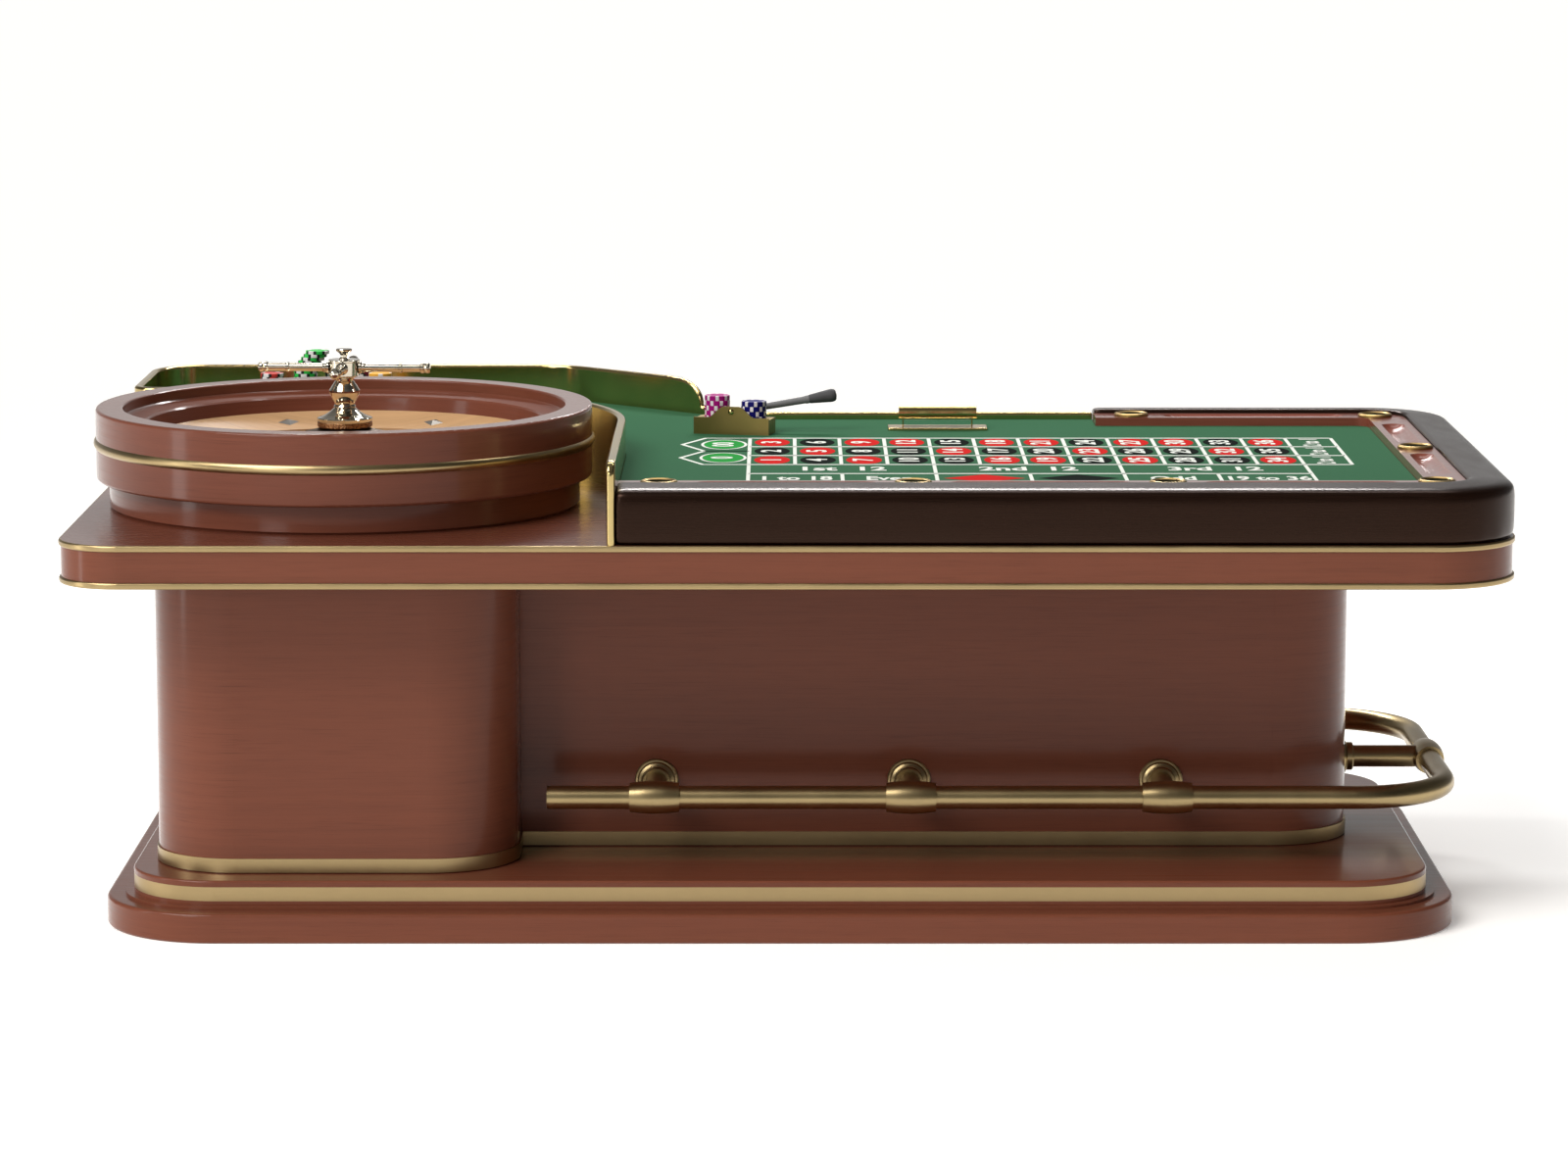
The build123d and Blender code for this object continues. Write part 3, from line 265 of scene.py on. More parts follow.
def moulded(name, color, roughness=0.45, grain=900.0, depth=0.12):
    """Moulded clay, plastic, rubber or paint: a fine grain and a little uneven wear."""
    s = Surface(name, color, roughness, Specular_IOR_Level=0.15)
    fine = s.even(grain, 3.0)
    cloud = s.even(40.0)
    s.feed("Base Color", s.mix(s.span(cloud, 0, 1), shade(s.color, 0.9), shade(s.color, 1.1)))
    s.feed("Roughness", s.span(cloud, roughness - 0.05, roughness + 0.1))
    s.bump(fine, depth, 0.0003)
    return s.material


def metal(name, color, roughness):
    """Plain grey metal with fine level scratches."""
    s = Surface(name, color, roughness, 1.0)
    scratches = s.noise(s.stretched(1, 1, 8), 400.0, 2.0)
    cloud = s.even(30.0, 3.0)
    s.feed("Base Color", s.mix(s.span(cloud, 0, 1), shade(s.color, 0.92), shade(s.color, 1.04)))
    s.feed("Roughness", s.span(cloud, roughness, roughness + 0.08))
    s.bump(scratches, 0.03, 0.0001)
    return s.material


def knurled():
    """Brass pressed with a fine knurl, with a reddish-brown reflection of the wheel's wood painted
    into its hollows.
    """
    s = Surface("knurled_brass_painted_reflection", "B98E63", 0.25, 1.0)
    knurl = s.cells(420.0)
    # The reddish brown 5A3322 in the knurl's hollows is a painted reflection of the wheel's wood.
    s.feed("Base Color", s.mix(s.span(knurl, 0, 1, 0.2, 0.8), s.color, linear("5A3322")))
    s.feed("Roughness", s.span(knurl, 0.18, 0.5, 0.2, 0.8))
    s.bump(knurl, 0.8, 0.001)
    return s.material


def acrylic():
    """Clear acrylic, scuffed by use."""
    s = Surface("clear_acrylic", "F2F7F5", 0.03, Transmission_Weight=1.0, IOR=1.49)
    scuffs = s.noise(s.stretched(20, 20, 400), 1.0, 4.0)
    s.feed("Roughness", s.span(scuffs, 0.02, 0.09, 0.5, 0.75))
    s.bump(scuffs, 0.04, 0.0001)
    return s.material


MAHOGANY = wood("mahogany", "6D3C2A", 0.08)
WHEEL_WOOD = wood("wheel_mahogany", "6B3B2B", 0.08, 1.0, 0.12, 0.35)
DECK_WOOD = wood("deck_mahogany", "643526", 0.08, 1.0, 0.2, 0.4, 1.38)
SHELF_WOOD = wood("shelf_wood", "7A4032", 0.12, 1.0, 0.16, 0.3, 1.45)
MAPLE = wood("maple", "B58F67", 0.1, 0.12, 0.25, 0.45)
PLYWOOD = wood("plywood", "B08A5C", 0.2, 0.0, 0.3, 0.7)
SATIN_BRASS = brass("satin_brass", "AC966D", 0.28, 0.08, 0.03)
RAIL_BRASS = brass("rail_brass", "A8946C", 0.27, 0.06, 0.03)
POLISHED_BRASS = brass("polished_brass", "C6B078", 0.13, 0.04, 0.004)
TRAY_BRASS = brass("tray_brass", "A08A55", 0.34, 0.08, 0.02)
CUP_BRASS = brass("cup_brass", "A68A55", 0.34, 0.06, 0.01)
STAR_BRONZE = brass("star_bronze", "4A3A2C", 0.5)
TURRET_GOLD = brass("turret_gold", "DED5C2", 0.05, 0.03, 0.002)
STEEL = metal("bright_steel", "C9CACB", 0.14)
DEFLECTOR_STEEL = metal("deflector_steel", "8E8A84", 0.42)
GREY_STEEL = metal("drop_steel", "9EA0A2", 0.32)
BLACK_PAINT = moulded("box_paint", "26262A", 0.4, 1500.0, 0.3)
POCKET_BLACK = moulded("pocket_black", "17181A", 0.25)
LEVER_GREY = moulded("lever_grey", "6E6E6E", 0.35, 600.0, 0.08)
GRIP_BLACK = moulded("grip_black", "4A4A4B", 0.6, 1200.0, 0.35)
BALL_WHITE = moulded("ball_white", "EDEAE2", 0.15, 300.0, 0.02)
WHITE_INK = ink("white_ink", "D9DCD4")

FINISHES = (
    (MAHOGANY, "base_slab base_upper_tier wheel_pedestal main_pedestal apron_frame"),
    (DECK_WOOD, "deck_panel"),
    (WHEEL_WOOD, "wheel_base wheel_rim ball_track"),
    (SATIN_BRASS, "base_band wheel_pedestal_band main_pedestal_band"),
    (SATIN_BRASS, "apron_bead_upper apron_bead_lower wheel_bead"),
    (POLISHED_BRASS, "guard_fence chip_tray_screw drop_slot_plate paddle_handle"),
    (TRAY_BRASS, "chip_tray_body chip_tray_plate"),
    (CUP_BRASS, "cup_holders"),
    (RAIL_BRASS, "foot_rail_tube foot_rail_plugs rail_clamps rail_stems rail_rosettes"),
    (PLYWOOD, "bed_ribs bed_panel"),
    (SHELF_WOOD, "rail_shelf"),
    (MAPLE, "stator_apron rotor_cone"),
    (STEEL, "pocket_frets drop_box_handle spindle rotor_bearings"),
    (DEFLECTOR_STEEL, "deflectors"),
    (knurled(), "turret_flange"),
    (STAR_BRONZE, "star_plate"),
    (TURRET_GOLD, "turret_bell turret_column turret_hub turret_arms turret_knob"),
    (POCKET_BLACK, "number_ring pocket_ring"),
    (BALL_WHITE, "ball"),
    (LEVER_GREY, "lever_rod"),
    (GRIP_BLACK, "lever_grip"),
    (acrylic(), "paddle_blade"),
    (GREY_STEEL, "drop_chute drop_box_runners"),
    (BLACK_PAINT, "drop_box_shell drop_box_door"),
)

for finish, node_names in FINISHES:
    for node_name in node_names.split():
        for node_slot in NODES[node_name].material_slots:
            node_slot.material = finish

# ---- pieces ------------------------------------------------------------------------------

RING_STEPS = 48


def place_object(name, data):
    made = bpy.data.objects.new(name, data)
    bpy.context.scene.collection.objects.link(made)
    return made


def add_piece(name, mesh, body, slot, *materials):
    piece = place_object(name, mesh)
    for material in materials:
        mesh.materials.append(material)
    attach(piece, body)
    return piece


def mesh_of(name, vertices, faces, smooth=False, kinds=None):
    """A mesh; kinds gives each face's material, as a place in the piece's list of them."""
    mesh = bpy.data.meshes.new(name)
    mesh.from_pydata([tuple(vertex) for vertex in vertices], [], faces)
    mesh.polygons.foreach_set("use_smooth", [smooth] * len(faces))
    if kinds:
        mesh.polygons.foreach_set("material_index", kinds)
    mesh.update()
    return mesh


def polar(radius, angle, z=0.0):
    return Vector((radius * math.cos(angle), radius * math.sin(angle), z))


def band_faces(start, rings, count):
    """Four-sided faces that join closed rings of count vertices, each ring to the next."""
    faces = []
    for ring in range(rings - 1):
        for step in range(count):
            a = start + ring * count + step
            b = start + ring * count + (step + 1) % count
            faces.append((a, a + count, b + count, b))
    return faces


# ---- the padded leather rail -------------------------------------------------------------

RAIL_CORNER, RAIL_CORNER_STEPS = 0.150, 30
RAIL_BACK_END = 0.5690
RAIL_STEP = 0.012
# How far the leather stands in from its line, in metres, in its slack, ripples and puckers, and
# over how many points of the section the puckers at a corner die out.
SLACK, RIPPLE, PUCKER, PUCKER_REACH = 0.00018, 0.00006, 0.0006, 6
# How the leather is drawn in at an open end: how far along, and by how many millimetres.
RAIL_END_DRAWS = ((0.0006, 5.0), (0.0022, 1.4))
# The pad's section: how far in from the outer face, and height above the floor, in millimetres.
RAIL_SECTION = (
    (7.0, 687.1),
    (2.6, 688.6),
    (1.0, 694.0),
    (0.35, 706.0),
    (0.15, 724.0),
    (0.15, 741.0),
    (0.3, 753.0),
    (0.8, 760.0),
    (1.8, 765.5),
    (3.4, 769.4),
    (6.0, 772.6),
    (9.5, 775.0),
    (14.0, 776.8),
    (20.0, 778.2),
    (27.0, 779.2),
    (36.0, 779.9),
    (48.0, 780.8),
    (60.0, 781.6),
    (68.0, 782.1),
    (73.0, 782.2),
    (76.6, 780.9),
    (78.8, 777.2),
    (79.5, 770.0),
    (79.6, 752.0),
    (79.6, 700.0),
    (76.0, 687.1),
)


def rail_line():
    """Points on the rail's outer face, each with its inward direction and bend."""
    low, high = (Vector(corner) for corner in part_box("padded_rail"))
    right, front, rear = high.x, low.y, high.y
    line = []

    def run(start, end, inward):
        count = max(2, round((end - start).length / RAIL_STEP))
        for index in range(count):
            line.append((start.lerp(end, index / count), inward, 0.0))

    def turn(centre, start):
        for index in range(RAIL_CORNER_STEPS):
            angle = math.radians(start + 90 * index / RAIL_CORNER_STEPS)
            outward = polar(1.0, angle)
            bend = math.sin(math.pi * index / RAIL_CORNER_STEPS)
            line.append((centre + outward * RAIL_CORNER, -outward, bend))

    inner = right - RAIL_CORNER
    run(Vector((low.x, front, 0)), Vector((inner, front, 0)), Vector((0, 1, 0)))
    turn(Vector((inner, front + RAIL_CORNER, 0)), -90)
    run(
        Vector((right, front + RAIL_CORNER, 0)),
        Vector((right, rear - RAIL_CORNER, 0)),
        Vector((-1, 0, 0)),
    )
    turn(Vector((inner, rear - RAIL_CORNER, 0)), 0)
    run(Vector((inner, rear, 0)), Vector((RAIL_BACK_END, rear, 0)), Vector((0, -1, 0)))
    line.append((Vector((RAIL_BACK_END, rear, 0)), Vector((0, -1, 0)), 0.0))
    return line


def swelling(along, around, bend):
    """How far the leather stands in from its line: slack, ripples, and puckers at bends."""
    slack = SLACK * math.sin(along * 5.3 + 1.1 * math.sin(along * 2.9))
    ripple = RIPPLE * math.sin(along * 19.0 + around * 2.0)
    pucker = PUCKER * bend * math.sin(along * 130.0) * max(0.0, 1 - around / PUCKER_REACH) ** 2
    return slack + ripple + pucker


def rail_rings():
    """The rail's line with its two ends drawn in: place, inward, bend, along, shrink."""
    line = rail_line()
    along = [0.0]
    for before, after in zip(line, line[1:]):
        along.append(along[-1] + (after[0] - before[0]).length)
    rings = [(*point, far, 0.0) for point, far in zip(line, along)]
    capped = []
    for place, inward, bend, far, _ in (rings[0], rings[-1]):
        capped.append(
            [(place + Vector((out, 0, 0)), inward, bend, far, draw) for out, draw in RAIL_END_DRAWS]
        )
    return [*capped[0], *rings[1:-1], *reversed(capped[1])]


def padded_rail():
    count = len(RAIL_SECTION)
    middle_in = sum(point[0] for point in RAIL_SECTION) / count
    middle_up = sum(point[1] for point in RAIL_SECTION) / count
    rings = rail_rings()
    vertices = []
    for place, inward, bend, along, shrink in rings:
        for around, (depth, height) in enumerate(RAIL_SECTION):
            reach = max(math.hypot(depth - middle_in, height - middle_up), 1.0)
            depth += (middle_in - depth) / reach * shrink
            height += (middle_up - height) / reach * shrink
            inset = depth / 1000 + swelling(along, around, bend)
            vertices.append(place + inward * inset + Vector((0, 0, height / 1000)))
    faces = band_faces(0, len(rings), count)
    faces.append(tuple(range(count)))
    faces.append(tuple(reversed(range(len(vertices) - count, len(vertices)))))
    mesh = mesh_of("padded_leather_rail", vertices, faces, True)
    builder = bmesh.new()
    builder.from_mesh(mesh)
    bmesh.ops.recalc_face_normals(builder, faces=builder.faces)
    builder.to_mesh(mesh)
    builder.free()
    piece = add_piece("padded_leather_rail", mesh, "table", "dark_leather", leather())
    soften = piece.modifiers.new("soften", "SUBSURF")
    soften.levels = soften.render_levels = 1
    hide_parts("padded_rail")


padded_rail()

# ---- felt and its printing ---------------------------------------------------------------

CLOTH_THICKNESS, CLOTH_ROLL = 0.0019, 0.0006
INK_RISE, LETTERING_RISE = 0.00025, 0.0005
# The least cosine that a corner's mitre is divided by, so that a sharp corner has no spike.
MITRE_LIMIT = 0.3


def felt_cloth():
    """The cloth's top, taken from its CAD solid, with a rolled edge, and the top's area."""
    builder = bmesh.new()
    builder.from_mesh(NODES["felt_cloth"].data)
    builder.normal_update()
    under = [face for face in builder.faces if face.normal.z < 0.9]
    bmesh.ops.delete(builder, geom=under, context="FACES")
    bmesh.ops.remove_doubles(builder, verts=builder.verts, dist=0.00001)
    bmesh.ops.dissolve_limit(
        builder, angle_limit=0.01, verts=builder.verts, edges=builder.edges, delimit=set()
    )
    bmesh.ops.triangulate(builder, faces=builder.faces)
    area = sum(face.calc_area() for face in builder.faces)
    mesh = bpy.data.meshes.new("stretched_felt")
    builder.to_mesh(mesh)
    builder.free()
    piece = add_piece("stretched_felt", mesh, "table", "green_felt", felt())
    body = piece.modifiers.new("thickness", "SOLIDIFY")
    body.thickness = CLOTH_THICKNESS
    body.offset = -1
    roll = piece.modifiers.new("rolled_edge", "BEVEL")
    roll.width = CLOTH_ROLL
    roll.segments = 2
    roll.angle_limit = math.radians(60)
    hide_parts("felt_cloth")
    return piece, area


class Print:
    """Flat shapes in one ink, gathered into one piece that lies on the felt."""

    def __init__(self, name, material, rise=INK_RISE):
        self.name, self.material = name, material
        self.height = FELT_TOP + rise
        self.vertices, self.faces = [], []

    def add(self, vertices, faces):
        start = len(self.vertices)
        self.vertices += [(v[0], v[1], self.height) for v in vertices]
        self.faces += [tuple(start + index for index in face) for face in faces]

    def polygon(self, points):
        self.add(points, [range(len(points))])

    def stroke(self, points, width, closed=False):
        """A line of even width through points, mitred at its corners."""
        points = [Vector((p[0], p[1])) for p in points]
        count = len(points)
        sides = []
        for index, point in enumerate(points):
            before = points[index - 1] if closed or index else None
            after = points[(index + 1) % count] if closed or index < count - 1 else None
            normals = []
            for a, b in ((before, point), (point, after)):
                if a is not None and b is not None:
                    way = (b - a).normalized()
                    normals.append(Vector((-way.y, way.x)))
            normal = sum(normals, Vector((0, 0))).normalized()
            reach = width / 2 / max(normal.dot(normals[0]), MITRE_LIMIT)
            sides.append((point + normal * reach, point - normal * reach))
        for index in range(count if closed else count - 1):
            a, b = sides[index], sides[(index + 1) % count]
            self.polygon((a[0], a[1], b[1], b[0]))

    def oval(self, centre, size):
        self.polygon(oval_points(centre, size))

    def ring(self, centre, size, line):
        self.stroke(oval_points(centre, size), line, closed=True)

    def write(self, text, centre, size, turn, wide, tall):
        vertices, faces = letters(text, size)
        place = Matrix.Rotation(math.radians(turn), 3, "Z") @ Matrix.Diagonal((wide, tall, 1))
        self.add([centre + place @ vertex for vertex in vertices], faces)

    def finish(self):
        mesh = mesh_of(self.name, self.vertices, self.faces)
        builder = bmesh.new()
        builder.from_mesh(mesh)
        for face in builder.faces:
            if face.normal.z < 0:
                face.normal_flip()
        builder.to_mesh(mesh)
        builder.free()
        return add_piece(self.name, mesh, "table", "green_felt", self.material)


def oval_points(centre, size):
    width, depth = size
    turns = [2 * math.pi * index / RING_STEPS for index in range(RING_STEPS)]
    return [
        (centre.x + width / 2 * math.cos(t), centre.y + depth / 2 * math.sin(t)) for t in turns
    ]


def letters(text, size, weight=0.03):
    """Flat lettering as (vertices, faces), centred on the origin, reading along +X."""
    curve = bpy.data.curves.new("lettering", "FONT")
    curve.body = text
    curve.size = size
    curve.offset = weight * size
    curve.align_x = "CENTER"
    curve.align_y = "CENTER"
    curve.resolution_u = 3
    holder = place_object("lettering", curve)
    graph = bpy.context.evaluated_depsgraph_get()
    mesh = bpy.data.meshes.new_from_object(holder.evaluated_get(graph))
    shapes = [v.co.copy() for v in mesh.vertices], [tuple(p.vertices) for p in mesh.polygons]
    bpy.data.objects.remove(holder)
    bpy.data.meshes.remove(mesh)
    bpy.data.curves.remove(curve)
    return shapes


# The layout's lines, in millimetres: x from the middle, y behind the table's front.
GRID_LEFT, COLUMN, COLUMNS = -69.0, 80.8, 12
ROW_LINES = (841.0, 718.0, 595.0, 472.0)
DOZEN_LINE, OUTSIDE_LINE = 352.0, 232.0
GRID_RIGHT = GRID_LEFT + COLUMNS * COLUMN
PAYOUT_RIGHT = 984.0
ZERO_LEFT, ZERO_TIP = -149.0, -190.0
DIAMOND_HALF_WIDTH, DIAMOND_HALF_DEPTH = 70, 48
ZERO_SHIFT, OUTSIDE_SHIFT = -6, -4
# Widths of the lines and of the ovals, in metres.
LEVEL_LINE, UPRIGHT_LINE, ZERO_LINE, ZERO_RING_LINE = 0.009, 0.0065, 0.0075, 0.005
NUMBER_OVAL, ZERO_OVAL, ZERO_RING = (0.063, 0.108), (0.072, 0.124), (0.078, 0.132)
# Lettering: its size in metres, its turn in degrees, and its stretch in width and height.
NUMBER_TEXT = (0.068, 90, 0.95, 0.72)
PAYOUT_TEXT = (0.044, 90, 0.95, 1.0)
ZERO_TEXT = (0.062, 90, 0.95, 0.85)
DOZEN_TEXT = (0.08, 0, 0.7, 0.85)
OUTSIDE_TEXT = (0.07, 0, 0.62, 0.95)


def grid_lines(lines):
    """The straight lines of the layout."""

    def level(x, y):
        lines.stroke((mm(GRID_LEFT, y), mm(x, y)), LEVEL_LINE)

    def upright(x, y0, y1):
        lines.stroke((mm(x, y0), mm(x, y1)), UPRIGHT_LINE)

    far, near = ROW_LINES[0], ROW_LINES[-1]
    for y in ROW_LINES:
        level(PAYOUT_RIGHT, y)
    level(GRID_RIGHT, DOZEN_LINE)
    level(GRID_RIGHT, OUTSIDE_LINE)
    for index in range(COLUMNS + 1):
        x = GRID_LEFT + index * COLUMN
        upright(x, near, far)
        if index % 4 == 0:
            upright(x, OUTSIDE_LINE, near)
        elif index % 2 == 0:
            upright(x, OUTSIDE_LINE, DOZEN_LINE)
    upright(PAYOUT_RIGHT, near, far)


def zero_boxes(lines, greens, words):
    """The two pointed boxes of 0 and 00, left of the numbers."""
    far, near = ROW_LINES[0], ROW_LINES[-1]
    middle = (far + near) / 2
    for name, low, high in (("00", middle, far), ("0", near, middle)):
        half = (low + high) / 2
        outline = (
            (GRID_LEFT, low),
            (ZERO_LEFT, low),
            (ZERO_TIP, half),
            (ZERO_LEFT, high),
            (GRID_LEFT, high),
        )
        lines.stroke([mm(x, y) for x, y in outline], ZERO_LINE)
        centre = mm((GRID_LEFT + ZERO_LEFT) / 2 + ZERO_SHIFT, half)
        greens.oval(centre, ZERO_OVAL)
        lines.ring(centre, ZERO_RING, ZERO_RING_LINE)
        words.write(name, centre, *ZERO_TEXT)


def layout():
    """The printed layout: straight up numbers, payouts, zeros, dozens and outside bets."""
    lines = Print("layout_lines", WHITE_INK)
    reds = Print("layout_red", ink("red_ink", "BC1E1C"))
    blacks = Print("layout_black", ink("black_ink", "0A120E"))
    greens = Print("layout_green", ink("green_ink", "2A8A3C"))
    words = Print("layout_lettering", WHITE_INK, LETTERING_RISE)
    row_middles = [(upper + lower) / 2 for upper, lower in zip(ROW_LINES, ROW_LINES[1:])]
    grid_lines(lines)
    for index in range(COLUMNS):
        for row, y in enumerate(row_middles):
            number = 3 * index + 3 - row
            centre = mm(GRID_LEFT + (index + 0.5) * COLUMN, y)
            sheet = reds if number in RED_NUMBERS else blacks
            sheet.oval(centre, NUMBER_OVAL)
            words.write(str(number), centre, *NUMBER_TEXT)
    for y in row_middles:
        words.write("2 to 1", mm((GRID_RIGHT + PAYOUT_RIGHT) / 2, y), *PAYOUT_TEXT)
    zero_boxes(lines, greens, words)
    for index, name in enumerate(("1st  12", "2nd  12", "3rd  12")):
        centre = mm(GRID_LEFT + (index * 4 + 2) * COLUMN, (ROW_LINES[-1] + DOZEN_LINE) / 2)
        words.write(name, centre, *DOZEN_TEXT)
    for index, name in enumerate(("1 to 18", "Even", "red", "black", "Odd", "19 to 36")):
        x = GRID_LEFT + (index * 2 + 1) * COLUMN
        y = (DOZEN_LINE + OUTSIDE_LINE) / 2
        if name in ("red", "black"):
            wide, deep = DIAMOND_HALF_WIDTH, DIAMOND_HALF_DEPTH
            corners = ((x - wide, y), (x, y - deep), (x + wide, y), (x, y + deep))
            sheet = reds if name == "red" else blacks
            sheet.polygon([mm(*corner) for corner in corners])
        else:
            words.write(name, mm(x, y + OUTSIDE_SHIFT), *OUTSIDE_TEXT)
    return [sheet.finish() for sheet in (lines, reds, blacks, greens, words)]


cloth, cloth_area = felt_cloth()
prints = layout()

# ---- the wheel's numbers -----------------------------------------------------------------

# Radii on the rotor, in metres.
RING_INNER = 0.2483
NUMBER_BAND = (0.2495, 0.2835)
POCKET_BAND = (0.2052, 0.2472)
NUMBER_RADIUS, NUMBER_SIZE, NUMBER_WEIGHT = 0.266, 0.024, 0.02
# The number ring rises outwards by this much. The printing lies just above it.
RING_RISE = 0.008
SECTOR_GAP, MARK_GAP, FLOOR_GAP = 0.00015, 0.0002, 0.00012
# Half widths, as shares of one number's step round the wheel.
SECTOR_HALF, FLOOR_HALF, DIVIDER = 0.485, 0.46, (0.488, 0.512)
BLACK, RED, GREEN = range(3)


class RingPrint:
    """Coloured sectors or lettering on the rotor, at a height that depends on the radius."""

    def __init__(self, name, slot, height, *materials):
        self.name, self.slot, self.height, self.materials = name, slot, height, materials
        self.vertices, self.faces, self.kinds = [], [], []

    def point(self, radius, angle):
        return Vector((WHEEL.x, WHEEL.y, self.height(radius))) + polar(radius, angle)

    def sector(self, band, start, end, kind, steps=6):
        inner, outer = band
        base = len(self.vertices)
        for index in range(steps + 1):
            angle = start + (end - start) * index / steps
            self.vertices += [self.point(inner, angle), self.point(outer, angle)]
        for index in range(steps):
            a = base + 2 * index
            self.faces.append((a, a + 1, a + 3, a + 2))
            self.kinds.append(kind)

    def write(self, text, radius, angle, size):
        vertices, faces = letters(text, size, NUMBER_WEIGHT)
        base = len(self.vertices)
        for vertex in vertices:
            reach = radius + vertex.y
            self.vertices.append(self.point(reach, angle - vertex.x / reach))
        self.faces += [tuple(base + index for index in face) for face in faces]
        self.kinds += [0] * len(faces)

    def finish(self):
        mesh = mesh_of(self.name, self.vertices, self.faces, False, self.kinds)
        return add_piece(self.name, mesh, "rotor", self.slot, *self.materials)


def wheel_numbers():
    red = moulded("wheel_red", "B3201C", 0.25, 300.0, 0.04)
    black = moulded("wheel_black", "141416", 0.22, 300.0, 0.04)
    green = moulded("wheel_green", "1C7A3A", 0.25, 300.0, 0.04)
    gold = brass("number_gold", "E6CF98", 0.2)
    colors = (black, red, green)
    ring_high = Vector(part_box("number_ring")[1])
    outer = ring_high.x - WHEEL.x
    slope = RING_RISE / (outer - RING_INNER)
    pocket_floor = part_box("pocket_ring")[1][2]

    def on_ring(radius):
        return ring_high.z + (radius - outer) * slope + SECTOR_GAP

    def above_ring(radius):
        return on_ring(radius) + MARK_GAP

    def on_floor(_):
        return pocket_floor + FLOOR_GAP

    bands = RingPrint("number_sectors", "number_ring_black", on_ring, *colors)
    marks = RingPrint("number_lettering", "number_ring_black", above_ring, gold)
    floors = RingPrint("pocket_floors", "pocket_black", on_floor, *colors)
    step = 2 * math.pi / len(WHEEL_ORDER)
    for index, number in enumerate(WHEEL_ORDER):
        middle = -index * step
        if number in ("0", "00"):
            kind = GREEN
        else:
            kind = RED if int(number) in RED_NUMBERS else BLACK
        for sheet, band, half in (
            (bands, NUMBER_BAND, SECTOR_HALF),
            (floors, POCKET_BAND, FLOOR_HALF),
        ):
            sheet.sector(band, middle - half * step, middle + half * step, kind)
        marks.write(number, NUMBER_RADIUS, middle, NUMBER_SIZE)
        start, end = (middle + share * step for share in DIVIDER)
        marks.sector(NUMBER_BAND, start, end, 0, 1)
    for sheet in (bands, marks, floors):
        sheet.finish()


wheel_numbers()

# ---- chips -------------------------------------------------------------------------------

SPOT_WHITE = moulded("chip_white", "DAD6D6", 0.45)
SPOT_BLACK = moulded("chip_dark", "1D2420", 0.45)
# A chip's section from the middle of its top to its edge: share of the radius, and the drop.
CHIP_TOP = ((0.02, 0.00028), (0.60, 0.00028), (0.62, 0.0), (0.76, 0.0), (0.975, 0.0), (1.0, 0.0006))
# The edge spots lie from this ring of the section outwards, on both faces.
SPOT_RING = 3
# How unevenly a stack is piled: turns in radians, and shifts in metres.
CHIP_TURN, CHIP_TWIST, CHIP_SHIFT = math.pi / 8, 0.14, 0.0005
# The wing's stacks are one CAD node: a chip belongs to a stack when it is this near in x.
STACK_REACH = 0.02


def chip(vertices, faces, kinds, centre, radius, thickness, turn, pattern):
    """Adds one chip. pattern gives the material of each edge spot round the rim, in turn."""
    start = len(vertices)
    half = thickness / 2
    rings = [(share * radius, half - drop) for share, drop in CHIP_TOP]
    rings += [(share, -height) for share, height in reversed(rings)]
    for reach, height in rings:
        for step in range(RING_STEPS):
            vertices.append(centre + polar(reach, turn + 2 * math.pi * step / RING_STEPS, height))
    faces += band_faces(start, len(rings), RING_STEPS)
    for ring in range(len(rings) - 1):
        rim = SPOT_RING <= ring < len(rings) - 1 - SPOT_RING
        for step in range(RING_STEPS):
            kinds.append(pattern[step * len(pattern) // RING_STEPS] if rim else 0)
    faces.append(tuple(range(start, start + RING_STEPS)))
    last = start + (len(rings) - 1) * RING_STEPS
    faces.append(tuple(reversed(range(last, last + RING_STEPS))))
    kinds += [0, 0]


def solids_in(node):
    """The lowest and highest corners of each separate solid in a CAD node."""
    builder = bmesh.new()
    builder.from_mesh(NODES[node].data)
    bmesh.ops.remove_doubles(builder, verts=builder.verts, dist=0.000001)
    found, seen = [], set()
    for vertex in builder.verts:
        if vertex in seen:
            continue
        island, queue = [], [vertex]
        seen.add(vertex)
        while queue:
            current = queue.pop()
            island.append(current.co.copy())
            for edge in current.link_edges:
                other = edge.other_vert(current)
                if other not in seen:
                    seen.add(other)
                    queue.append(other)
        low = Vector([min(co[axis] for co in island) for axis in range(3)])
        high = Vector([max(co[axis] for co in island) for axis in range(3)])
        found.append((low, high))
    builder.free()
    return sorted(found, key=lambda box: tuple(round(value, 5) for value in box[0].zyx))


def chip_stack(name, node, slot, color, pattern, near_x=None):
    """Detailed chips in the place of a CAD stack, one for each of its solids near near_x."""
    chance = random.Random(name)
    vertices, faces, kinds = [], [], []
    for index, (low, high) in enumerate(solids_in(node)):
        centre = (low + high) / 2
        if near_x is not None and abs(centre.x - near_x) >= STACK_REACH:
            continue
        turn = (index % 2) * CHIP_TURN + chance.uniform(-CHIP_TWIST, CHIP_TWIST)
        centre += Vector((chance.uniform(-1, 1), chance.uniform(-1, 1), 0)) * CHIP_SHIFT
        radius = (high.x - low.x) / 2
        chip(vertices, faces, kinds, centre, radius, high.z - low.z, turn, pattern)
    mesh = mesh_of(name, vertices, faces, False, kinds)
    body = moulded(f"{name}_clay", color, 0.42)
    piece = add_piece(name, mesh, "table", slot, body, SPOT_WHITE, SPOT_BLACK)
    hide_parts(node)


EVEN_SPOTS = (0, 0, 1) * 8
EDGED_SPOTS = (0, 0, 2, 1, 1, 2) * 4
WIDE_SPOTS = (0, 0, 0, 1) * 4

